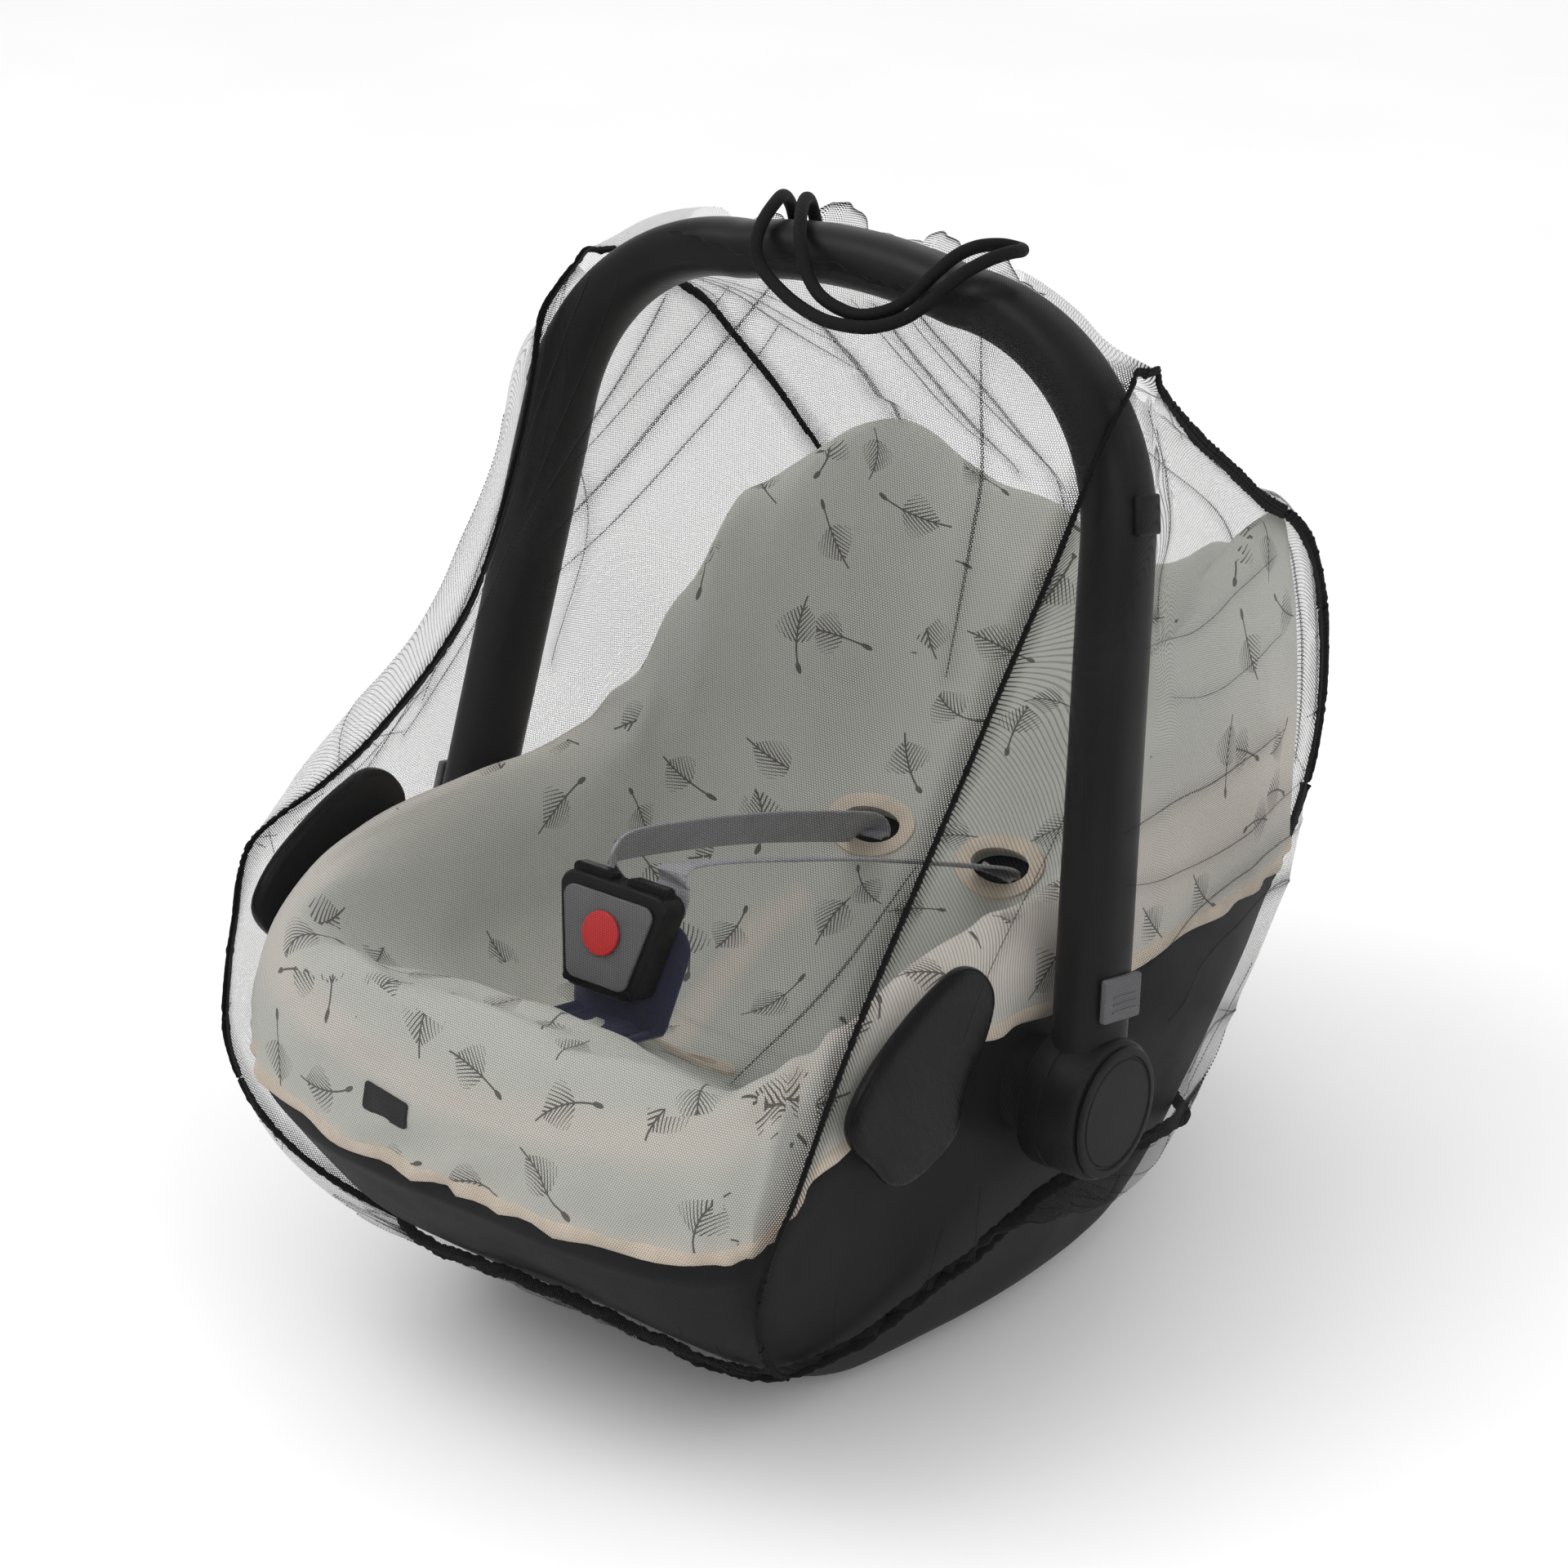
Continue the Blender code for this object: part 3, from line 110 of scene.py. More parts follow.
def curveThrough(points, at):
    points = np.asarray(points, float)
    before, after = 2 * points[0] - points[1], 2 * points[-1] - points[-2]
    padded = np.concatenate([before[None], points, after[None]])
    place = limit(np.asarray(at, float)) * (len(points) - 1)
    i = np.minimum(place.astype(int), len(points) - 2)
    t = (place - i).reshape((-1,) + (1,) * (points.ndim - 1))
    a, b, c, d = padded[i], padded[i + 1], padded[i + 2], padded[i + 3]
    return 0.5 * (2 * b + (c - a) * t + (2 * a - 5 * b + 4 * c - d) * t ** 2 + (3 * b - a - 3 * c + d) * t ** 3)


def shares(count):
    return np.linspace(0, 1, count + 1)


def runAlong(line):  # distance run from the line's first point
    return np.concatenate([[0], np.cumsum(np.linalg.norm(np.diff(line, axis=0), axis=1))])


def evenShares(points, count):  # shares of the way that lie evenly along the curve
    fine = curveThrough(points, shares(400))
    run = runAlong(fine)
    return np.interp(shares(count) * run[-1], run, shares(400))


def unit(v):
    v = np.asarray(v, float)
    return v / np.maximum(np.linalg.norm(v, axis=-1, keepdims=True), 1e-12)


def refine(grid, rowSteps, columnSteps):
    rows, columns = grid.shape[:2]
    fine = curveThrough(grid, shares((rows - 1) * rowSteps))
    fine = curveThrough(fine.transpose(1, 0, 2), shares((columns - 1) * columnSteps))
    return fine.transpose(1, 0, 2)


def refineRing(grid, ringSteps, rowSteps):  # first axis closes on itself
    count = len(grid)
    wrapped = np.concatenate([grid[-2:], grid, grid[:3]])
    at = (np.arange(count * ringSteps) / ringSteps + 2) / (len(wrapped) - 1)
    fine = curveThrough(wrapped, at)
    fine = curveThrough(fine.transpose(1, 0, 2), shares((grid.shape[1] - 1) * rowSteps))
    return fine.transpose(1, 0, 2)


def pointNormals(verts, faces):
    verts = np.asarray(verts, float)
    out = np.zeros_like(verts)
    faces = np.asarray(faces)
    centre = verts[faces].mean(axis=1)
    area = np.zeros_like(centre)
    for k in range(faces.shape[1]):
        area += np.cross(verts[faces[:, k]] - centre, verts[faces[:, (k + 1) % faces.shape[1]]] - centre)
    for k in range(faces.shape[1]):
        np.add.at(out, faces[:, k], area)
    return unit(out)


def arcAlong(grid, axis):  # distance run along an axis of the grid
    step = np.linalg.norm(np.diff(grid, axis=axis), axis=2)
    pad = [(0, 0), (0, 0)]
    pad[axis] = (1, 0)
    return np.cumsum(np.pad(step, pad), axis=axis)


def quadFaces(rows, columns, keep=None, ring=False):
    r, c = np.meshgrid(np.arange(rows - 1), np.arange(columns if ring else columns - 1), indexing="ij")
    if keep is not None:
        r, c = r[keep], c[keep]
    r, c = r.ravel(), c.ravel()
    n = (c + 1) % columns
    return np.stack([r * columns + c, r * columns + n, (r + 1) * columns + n, (r + 1) * columns + c], axis=1)


def tubeFaces(rings, sides):  # walls of a tube, and a cap on each end
    faces = [tuple(f) for f in quadFaces(rings, sides, ring=True)]
    return faces + [tuple(range(sides))[::-1], tuple((rings - 1) * sides + k for k in range(sides))]


def loopFaces(rings, sides):  # walls of a tube whose last ring meets its first
    faces = []
    for c in range(rings):
        n = (c + 1) % rings
        for k in range(sides):
            m = (k + 1) % sides
            faces.append((c * sides + k, n * sides + k, n * sides + m, c * sides + m))
    return faces


def circleAngles(count):
    return 2 * math.pi * np.arange(count) / count


boxFaces = [(0, 1, 3, 2), (4, 6, 7, 5), (0, 4, 5, 1), (2, 3, 7, 6), (0, 2, 6, 4), (1, 5, 7, 3)]


# Meshes
def addMesh(name, verts, faces, finish, uv=None, values=None, smooth=True, sharp=40):
    mesh = bpy.data.meshes.new(name)
    mesh.from_pydata(np.asarray(verts, float).tolist(), [], [list(map(int, f)) for f in faces])
    ob = bpy.data.objects.new(name, mesh)
    scene.collection.objects.link(ob)
    mesh.materials.append(finish)
    if uv is not None:
        loopPoint = np.zeros(len(mesh.loops), int)
        mesh.loops.foreach_get("vertex_index", loopPoint)
        layer = mesh.uv_layers.new(name="cloth")
        layer.data.foreach_set("uv", np.asarray(uv, float)[loopPoint].ravel())
    for key, value in (values or {}).items():
        mesh.attributes.new(key, "FLOAT", "POINT").data.foreach_set("value", np.asarray(value, float).ravel())
    if smooth:
        mesh.shade_smooth()
        mesh.set_sharp_from_angle(angle=math.radians(sharp))
    return ob


def treeOf(ob):  # for finding the nearest place or a hit on a mesh
    return BVHTree.FromObject(ob, bpy.context.evaluated_depsgraph_get())


def settle(ob):  # applies the modifiers
    mesh = bpy.data.meshes.new_from_object(ob.evaluated_get(bpy.context.evaluated_depsgraph_get()))
    ob.modifiers.clear()
    ob.data = mesh
    return ob


@contextmanager
def meshWork(ob):  # opens the mesh for edits and puts it back
    work = bmesh.new()
    work.from_mesh(ob.data)
    yield work
    work.to_mesh(ob.data)
    work.free()


def outward(ob):  # merges doubled points and turns the faces out
    with meshWork(ob) as work:
        bmesh.ops.remove_doubles(work, verts=work.verts, dist=1e-6)
        bmesh.ops.recalc_face_normals(work, faces=work.faces)
    return ob


def softened(ob, width, segments=3, angle=30):
    bevel = ob.modifiers.new("bevel", "BEVEL")
    bevel.width = width
    bevel.segments = segments
    bevel.limit_method = "ANGLE"
    bevel.angle_limit = math.radians(angle)
    settle(ob)
    ob.data.shade_smooth()
    ob.data.set_sharp_from_angle(angle=math.radians(50))
    return ob


def sheetOf(name, grid, finish, thick, uv, values, keep=None, sign=1):  # cloth of even thickness on a grid
    rows, columns = grid.shape[:2]
    faces = quadFaces(rows, columns, keep)
    if sign < 0:
        faces = faces[:, ::-1]
    ob = addMesh(name, grid.reshape(-1, 3), faces, finish, uv.reshape(-1, 2), values, sharp=180)
    with meshWork(ob) as work:
        bmesh.ops.delete(work, geom=[v for v in work.verts if not v.link_faces], context="VERTS")
    wall = ob.modifiers.new("wall", "SOLIDIFY")
    wall.thickness = thick
    wall.offset = 0
    wall.use_rim = True
    return settle(ob)


def sweep(name, line, finish, halfWide, halfThick, sides=12, across=None):
    # tube or band along a line; across is the direction of its width
    line = np.asarray(line, float)
    way = unit(np.gradient(line, axis=0))
    if across is None:
        turn = [unit(np.cross(way[0], [0.3, 0.2, 1.0]))]
        for w in way[1:]:
            turn.append(unit(turn[-1] - w * (turn[-1] @ w)))
        across = np.array(turn)
    across = unit(across - way * np.sum(across * way, axis=1, keepdims=True))
    up = np.cross(way, across)
    wide = np.broadcast_to(halfWide, len(line))[:, None]
    thick = np.broadcast_to(halfThick, len(line))[:, None]
    rings = [line + across * wide * math.cos(a) + up * thick * math.sin(a) for a in circleAngles(sides)]
    verts = np.stack(rings, axis=1).reshape(-1, 3)
    run = runAlong(line)
    uv = np.stack([np.broadcast_to(np.arange(sides) / sides, (len(line), sides)),
                   np.broadcast_to(run[:, None], (len(line), sides))], axis=2)
    return outward(addMesh(name, verts, tubeFaces(len(line), sides), finish, uv.reshape(-1, 2), sharp=60))


def joined(name, parts):
    bpy.ops.object.select_all(action="DESELECT")
    for ob in parts:
        ob.select_set(True)
    bpy.context.view_layer.objects.active = parts[0]
    if len(parts) > 1:
        bpy.ops.object.join()
    parts[0].name = name
    parts[0].data.name = name
    return parts[0]


def ride(ob, slot, *nodes):
    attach(ob, "root")
    if nodes:
        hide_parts(*nodes)
    return ob


# Shader pieces
def nodeGroup(name, inputs, outputs):
    tree = bpy.data.node_groups.new(name, "ShaderNodeTree")
    for label, kind, value in inputs:
        socket = tree.interface.new_socket(label, in_out="INPUT", socket_type=kind)
        if value is not None:
            socket.default_value = value
    for label, kind in outputs:
        tree.interface.new_socket(label, in_out="OUTPUT", socket_type=kind)
    return tree, tree.nodes.new("NodeGroupInput"), tree.nodes.new("NodeGroupOutput")


class Wiring:  # short names for shader nodes of one tree
    def __init__(self, tree):
        self.tree = tree

    def put(self, node, index, value):
        socket = node.inputs[index]
        if isinstance(value, bpy.types.NodeSocket):
            self.tree.links.new(value, socket)
        elif value is not None:
            socket.default_value = value

    def make(self, kind, *values, **settings):  # a new node with its inputs filled in order
        node = self.tree.nodes.new("ShaderNode" + kind)
        for key, value in settings.items():
            setattr(node, key, value)
        for index, value in enumerate(values):
            self.put(node, index, value)
        return node

    def feed(self, node, **values):  # fills inputs by name
        for key, value in values.items():
            self.put(node, key.replace("_", " "), value)
        return node

    def math(self, kind, *values):
        return self.make("Math", *values, operation=kind).outputs[0]

    def times(self, a, b):
        return self.math("MULTIPLY", a, b)

    def vector(self, kind, *values):
        return self.make("VectorMath", *values, operation=kind).outputs["Value" if kind == "DOT_PRODUCT" else "Vector"]

    def scaled(self, a, factor):
        return self.feed(self.make("VectorMath", a, operation="SCALE"), Scale=factor).outputs["Vector"]

    def split(self, a):
        return tuple(self.make("SeparateXYZ", a).outputs)

    def join(self, x, y, z=0.0):
        return self.make("CombineXYZ", x, y, z).outputs[0]

    def square(self, side):  # a pattern's cell as a vector
        return self.join(side, side, 1.0)

    def noise(self, at, scale, detail=2.0, rough=0.5):
        return self.feed(self.make("TexNoise"), Vector=at, Scale=scale, Detail=detail, Roughness=rough).outputs[0]

    def span(self, value, low, high, toLow=0.0, toHigh=1.0, smooth=True):
        kind = "SMOOTHSTEP" if smooth else "LINEAR"
        return self.make("MapRange", value, low, high, toLow, toHigh, interpolation_type=kind).outputs[0]

    def mix(self, factor, a, b, blend="MIX"):
        node = self.make("Mix", factor, data_type="RGBA", blend_type=blend)
        for index, value in ((6, a), (7, b)):
            self.put(node, index, value if isinstance(value, bpy.types.NodeSocket) else (*value, 1.0))
        return node.outputs[2]

    def use(self, tree, **values):
        return self.feed(self.make("Group", node_tree=tree), **values).outputs

    def uv(self):
        return self.make("UVMap", uv_map="cloth").outputs[0]

    def place(self):
        return self.make("TexCoord").outputs["Object"]

    def value(self, name):
        return self.make("Attribute", attribute_name=name).outputs["Fac"]

    def bump(self, height, strength, distance):
        return self.feed(self.make("Bump"), Strength=strength, Distance=distance, Height=height).outputs[0]


def newMaterial(name):
    made = bpy.data.materials.new(name)
    made.use_nodes = True
    return made, Wiring(made.node_tree), made.node_tree.nodes["Principled BSDF"]


def fixedLook(shader, shine=None, sheen=None):  # what is the same all over, on the shader's own sockets
    if shine is not None:
        shader.inputs["Specular IOR Level"].default_value = shine
    if sheen is not None:
        shader.inputs["Sheen Weight"].default_value = sheen


def meshHoles():  # six-sided net: 1 on the thread, 0 in the hole
    tree, start, end = nodeGroup(
        "sixSidedNet", [("At", "NodeSocketVector", None), ("Pitch", "NodeSocketFloat", 0.0013),
                        ("Thread", "NodeSocketFloat", 0.1)], [("Mask", "NodeSocketFloat")])
    w = Wiring(tree)
    cell = w.vector("DIVIDE", start.outputs["At"], w.square(start.outputs["Pitch"]))
    half = (0.5, 0.8660254, 0.0)                # from one hexagon's centre to the next row's
    far = (4000.0, 6928.2032, 0.0)              # keeps the remainders positive

    def offset(shift):
        moved = w.vector("ADD", cell, shift)
        inside = w.vector("SUBTRACT", w.vector("MODULO", moved, (1.0, 1.7320508, 1.0)), half)
        return w.vector("MULTIPLY", w.vector("ABSOLUTE", inside), (1.0, 1.0, 0.0))

    def reach(v):
        return w.math("MAXIMUM", w.vector("DOT_PRODUCT", v, half), w.split(v)[0])

    near = w.math("MINIMUM", reach(offset(far)), reach(offset((far[0] + half[0], far[1] + half[1], 0.0))))
    edge = w.math("SUBTRACT", 0.5, start.outputs["Thread"])
    w.put(end, "Mask", w.math("GREATER_THAN", near, edge))
    return tree


def fineGrain():  # moulded plastic's grain
    tree, start, end = nodeGroup("fineGrain", [("Scale", "NodeSocketFloat", 1400.0)],
                                 [("Height", "NodeSocketFloat"), ("Wear", "NodeSocketFloat")])
    w = Wiring(tree)
    at = w.place()
    grain = w.noise(at, start.outputs["Scale"], 3.0, 0.6)
    patches = w.noise(at, 14.0, 4.0, 0.55)
    w.put(end, "Height", grain)
    w.put(end, "Wear", w.span(patches, 0.35, 0.7))
    return tree


def plainWeave():  # over and under threads from a map in metres
    tree, start, end = nodeGroup(
        "plainWeave", [("At", "NodeSocketVector", None), ("Pitch", "NodeSocketFloat", 0.0008)],
        [("Height", "NodeSocketFloat")])
    w = Wiring(tree)
    cell = w.vector("DIVIDE", start.outputs["At"], w.square(start.outputs["Pitch"]))
    x, y = w.split(w.scaled(cell, math.pi))[:2]
    warp = w.math("ABSOLUTE", w.math("SINE", x))
    weft = w.math("ABSOLUTE", w.math("SINE", y))
    turn = w.times(w.math("SINE", w.times(x, 0.5)), w.math("SINE", w.times(y, 0.5)))
    over = w.math("GREATER_THAN", turn, 0.0)
    high = w.times(over, warp)
    low = w.times(w.math("SUBTRACT", 1.0, over), weft)
    w.put(end, "Height", w.math("ADD", high, low))
    return tree


sprig = {  # in shares of the spacing
    "scatter": 0.75, "size": (0.8, 1.15), "bend": 0.7, "stemHalf": 0.01, "stemReach": 0.4, "missing": 0.12,
    "leafStart": 0.1, "leafTall": 0.42, "leafHalf": 0.24, "leafTaper": 0.75, "slant": 1.5, "leaflets": 15.0,
    "leafletWide": (0.24, 0.07), "leafletReach": 0.2, "budHalf": 0.028, "budTall": 0.06, "budStart": 0.35,
}


def leafSprigs():  # scattered feathery leaf sprigs: 1 on the drawn line
    tree, start, end = nodeGroup(
        "leafSprigs", [("At", "NodeSocketVector", None), ("Spacing", "NodeSocketFloat", 0.05),
                       ("Seed", "NodeSocketFloat", 0.0)], [("Line", "NodeSocketFloat")])
    w = Wiring(tree)
    seed = start.outputs["Seed"]
    at = w.vector("DIVIDE", start.outputs["At"], w.square(start.outputs["Spacing"]))
    at = w.vector("ADD", at, w.join(seed, w.times(seed, 1.7)))
    cells = w.feed(w.make("TexVoronoi", voronoi_dimensions="2D"), Vector=at, Scale=1.0, Randomness=sprig["scatter"])
    red, green, blue = w.split(cells.outputs["Color"])
    angle = w.times(red, 6.2832)
    size = w.span(green, 0.0, 1.0, *sprig["size"], False)
    x, y = w.split(w.vector("SUBTRACT", at, cells.outputs["Position"]))[:2]
    cosine, sine = w.math("COSINE", angle), w.math("SINE", angle)
    aside = w.math("DIVIDE", w.math("ADD", w.times(x, cosine), w.times(y, sine)), size)
    up = w.math("DIVIDE", w.math("SUBTRACT", w.times(y, cosine), w.times(x, sine)), size)
    bend = w.times(w.times(up, up), w.span(blue, 0.0, 1.0, -sprig["bend"], sprig["bend"], False))
    aside = w.math("SUBTRACT", aside, bend)
    wide = w.math("ABSOLUTE", aside)
    stem = w.times(w.math("LESS_THAN", wide, sprig["stemHalf"]),
                   w.math("LESS_THAN", w.math("ABSOLUTE", up), sprig["stemReach"]))
    tall = w.math("DIVIDE", w.math("ADD", up, sprig["leafStart"]), sprig["leafTall"])    # leaflets fill the upper part
    inside = w.times(w.math("GREATER_THAN", tall, 0.0), w.math("LESS_THAN", tall, 1.0))
    taper = w.math("POWER", w.math("MAXIMUM", tall, 0.0), sprig["leafTaper"])
    envelope = w.times(w.math("SINE", w.times(taper, math.pi)), sprig["leafHalf"])
    slanted = w.times(w.math("SUBTRACT", up, w.times(wide, sprig["slant"])), sprig["leaflets"])
    wave = w.math("ABSOLUTE", w.math("SUBTRACT", w.math("FRACT", slanted), 0.5))
    thin = w.math("LESS_THAN", wave, w.span(wide, 0.0, sprig["leafletReach"], *sprig["leafletWide"], False))
    leaf = w.times(w.times(inside, w.math("LESS_THAN", wide, envelope)), thin)
    budX = w.math("DIVIDE", aside, sprig["budHalf"])
    budY = w.math("DIVIDE", w.math("ADD", up, sprig["budStart"]), sprig["budTall"])
    bud = w.math("LESS_THAN", w.math("ADD", w.times(budX, budX), w.times(budY, budY)), 1.0)
    shown = w.math("GREATER_THAN", w.math("FRACT", w.times(green, 7.0)), sprig["missing"])
    w.put(end, "Line", w.times(w.math("MAXIMUM", w.math("MAXIMUM", stem, leaf), bud), shown))
    return tree


groups = {"holes": meshHoles(), "grain": fineGrain(), "weave": plainWeave(), "sprigs": leafSprigs()}


def netMaterial(name, thread, colour=(0.008, 0.007, 0.0072)):
    made, w, shader = newMaterial(name)
    density_and_fold_shade = w.value("density_and_fold_shade")
    thick = w.math("ADD", w.times(density_and_fold_shade, 0.3), thread)            # gathered cloth looks denser, and folds and creases get painted shade through it
    mask = w.use(groups["holes"], At=w.uv(), Pitch=0.0013, Thread=thick)["Mask"]
    front = w.math("SUBTRACT", 1.0, w.make("NewGeometry").outputs["Backfacing"])
    w.feed(shader, Base_Color=(*colour, 1), Roughness=0.75, Alpha=w.times(mask, front))
    fixedLook(shader, 0.15)
    return made


def plasticMaterial(name, colour, rough, lift=0.00006, spread=0.08, shine=0.18):
    made, w, shader = newMaterial(name)
    grain = w.use(groups["grain"])
    tone = w.mix(grain["Wear"], colour, tuple(c * 1.3 + 0.001 for c in colour))
    w.feed(shader, Base_Color=tone, Roughness=w.span(grain["Wear"], 0, 1, rough - spread / 2, rough + spread / 2),
         Normal=w.bump(grain["Height"], 0.35, lift))
    fixedLook(shader, shine)
    return made


def clothMaterial(name, colour, pitch, rough=0.85, sheen=0.15, spread=0.18, lift=0.0002, shine=0.5):
    made, w, shader = newMaterial(name)
    weave = w.use(groups["weave"], At=w.uv(), Pitch=pitch)["Height"]
    cloudy = w.noise(w.place(), 60.0, 3.0)
    shade = w.times(w.span(weave, 0, 1, 1 - spread, 1 + spread * 0.4), w.span(cloudy, 0.2, 0.8, 0.9, 1.08))
    tone = w.mix(1.0, colour, shade, "MULTIPLY")
    w.feed(shader, Base_Color=tone, Roughness=rough, Normal=w.bump(weave, 0.5, lift))
    fixedLook(shader, shine, sheen)
    return made


def coverMaterial():
    made, w, shader = newMaterial("printedCotton")
    at = w.uv()
    weave = w.use(groups["weave"], At=at, Pitch=0.0007)["Height"]
    ink = w.use(groups["sprigs"], At=at, Spacing=0.05, Seed=3.0)["Line"]
    cloudy = w.span(w.noise(w.place(), 9.0, 3.0), 0.3, 0.7)
    ground = w.mix(cloudy, (0.49, 0.5, 0.458), (0.53, 0.532, 0.485))
    # painted light: the rim value turns the cover warm along the padded rim's crest; it also holds the apron's pale
    # top and the pale band along the slit
    ground = w.mix(w.value("rim"), ground, (0.65, 0.585, 0.525))
    ground = w.mix(w.times(w.math("SUBTRACT", 1.0, weave), 0.1), ground, (0.27, 0.27, 0.245))
    tone = w.mix(w.times(ink, 0.88), ground, (0.06, 0.056, 0.048))
    w.feed(shader, Base_Color=tone, Roughness=0.88, Normal=w.bump(weave, 0.4, 0.00015))
    fixedLook(shader, sheen=0.1)
    return made


finish = {
    "net": netMaterial("fineNet", 0.055),
    "netDense": netMaterial("foldedNet", 0.12),
    "seam": clothMaterial("seamBinding", (0.0042, 0.004, 0.004), 0.0012, 0.85, 0.0, 0.7, 0.0005, 0.12),
    "elastic": clothMaterial("braidedElastic", (0.0035, 0.0035, 0.0036), 0.0011, 0.75, 0.0, 0.35, 0.0003, 0.15),
    "shell": plasticMaterial("mouldedShell", (0.007, 0.007, 0.0075), 0.55, shine=0.12),
    "handle": plasticMaterial("mattePlastic", (0.0045, 0.0045, 0.0048), 0.42),
    "glossy": plasticMaterial("glossyPlastic", (0.0025, 0.0025, 0.0027), 0.24, 0.00002, 0.04, 0.12),
    "grey": plasticMaterial("greyPlastic", (0.105, 0.105, 0.11), 0.46, shine=0.4),
    "red": plasticMaterial("redPlastic", (0.5, 0.02, 0.022), 0.3, 0.00001, 0.04, 0.4),
    "webbing": clothMaterial("harnessWebbing", (0.3, 0.3, 0.32), 0.0016, 0.8, 0.1, 0.3, 0.0004),
    "navy": clothMaterial("navyPad", (0.022, 0.022, 0.06), 0.0009, 0.9, 0.25),
    "thread": clothMaterial("blackThread", (0.016, 0.016, 0.017), 0.0004, 0.6, 0.0, 0.3, 0.0001, 0.2),
    "whiteThread": clothMaterial("paleThread", (0.62, 0.62, 0.63), 0.0004, 0.7, 0.1, 0.3, 0.0001),
    "label": clothMaterial("wovenLabel", (0.012, 0.012, 0.012), 0.0006, 0.8, 0.05),
    "trim": clothMaterial("creamBinding", (0.64, 0.55, 0.45), 0.0009, 0.88, 0.1, 0.12),
    "cover": coverMaterial(),
}
print("stage: materials")


# Handle: one bowed tube whose legs end in the hubs
handle = {
    "hubHeight": 0.165, "lean": math.radians(12.5), "halfAtHub": 0.2051, "halfAtTop": 0.1634, "rise": 0.3708,
    "corner": 0.1093, "crown": 0.007, "thick": 0.03, "deepLeg": 0.044, "deepGrip": 0.037,
    "hubRadius": 0.036, "hubInner": 0.187, "hubOuter": 0.2206, "capRadius": 0.0335, "capThick": 0.003,
    "squareness": 2.5, "sides": 40, "rings": 120,
}


def archTurn():  # the legs' slope from upright, and how far a corner turns
    slope = math.atan2(handle["halfAtHub"] - handle["halfAtTop"], handle["rise"])
    return slope, math.pi / 2 - slope


def archPoint(run, lift=0.0, depth=0.0):  # run along the centre line from the top, lift out from it in its plane
    h = handle
    slope, turn = archTurn()
    flat = h["halfAtTop"] - h["corner"] * math.tan(turn / 2)
    bend = h["corner"] * turn
    if run < flat:
        x = run
        up = h["rise"] + h["crown"] * (1 - (run / flat) ** 2) + lift
    elif run < flat + bend:
        angle = (run - flat) / h["corner"]
        x = flat + (h["corner"] + lift) * math.sin(angle)
        up = h["rise"] - h["corner"] + (h["corner"] + lift) * math.cos(angle)
    else:
        down = run - flat - bend
        x = flat + h["corner"] * math.sin(turn) + down * math.sin(slope) + lift * math.cos(slope)
        up = h["rise"] - h["corner"] + h["corner"] * math.cos(turn) - down * math.cos(slope) + lift * math.sin(slope)
    y = up * math.sin(h["lean"]) + depth * math.cos(h["lean"])
    z = h["hubHeight"] + up * math.cos(h["lean"]) - depth * math.sin(h["lean"])
    return np.array([x, y, z])


def archHalfLength():
    h = handle
    slope, turn = archTurn()
    tangent = h["corner"] * math.tan(turn / 2)
    leg = (h["rise"] - tangent * math.cos(slope)) / math.cos(slope)
    return h["halfAtTop"] - tangent + h["corner"] * turn + leg


def lathe(name, profile, side, material, count=72):  # profile of x and radius, round the handle's axis
    verts, faces = [], []
    for x, radius in profile:
        for k in range(count):
            a = 2 * math.pi * k / count
            verts.append((side * x, radius * math.cos(a), handle["hubHeight"] + radius * math.sin(a)))
    for r in range(len(profile) - 1):
        for k in range(count):
            n = (k + 1) % count
            faces.append((r * count + k, r * count + n, (r + 1) * count + n, (r + 1) * count + k))
    for r, (x, radius) in ((0, profile[0]), (len(profile) - 1, profile[-1])):
        verts.append((side * x, 0, handle["hubHeight"]))
        faces += [(r * count + k, r * count + (k + 1) % count, len(verts) - 1) for k in range(count)]
    return outward(addMesh(name, verts, faces, material, sharp=35))


def handlePiece():
    h = handle
    half = archHalfLength()
    count = h["rings"]
    verts = []
    power = 2 / h["squareness"]
    for run in np.linspace(-half, half, 2 * count + 1):
        deep = h["deepGrip"] + (h["deepLeg"] - h["deepGrip"]) * min(1.0, max(0.0, (abs(run) - 0.1) / 0.15))
        for k in range(h["sides"]):
            a = 2 * math.pi * k / h["sides"]
            lift = math.copysign(abs(math.cos(a)) ** power, math.cos(a)) * h["thick"] / 2
            depth = math.copysign(abs(math.sin(a)) ** power, math.sin(a)) * deep / 2
            p = archPoint(abs(run), lift, depth)
            verts.append(p * (1 if run >= 0 else -1, 1, 1))
    rings = 2 * count + 1
    tube = outward(addMesh("handle_moulded", verts, tubeFaces(rings, h["sides"]), finish["handle"], sharp=50))
    inner, outer, radius = h["hubInner"], h["hubOuter"], h["hubRadius"]
    profile = [(inner, radius - 0.003), (inner + 0.001, radius - 0.0008), (inner + 0.003, radius),
               (inner + 0.0125, radius), (inner + 0.013, radius - 0.0009), (inner + 0.0138, radius - 0.0009),
               (inner + 0.0143, radius), (outer - 0.004, radius), (outer - 0.0015, radius - 0.0006),
               (outer - 0.0004, radius - 0.0018), (outer, radius - 0.0032)]
    hubs = [lathe("hub", profile, side, finish["handle"]) for side in (1, -1)]
    return ride(joined("handle_moulded", [tube] + hubs), "handle", "handle")


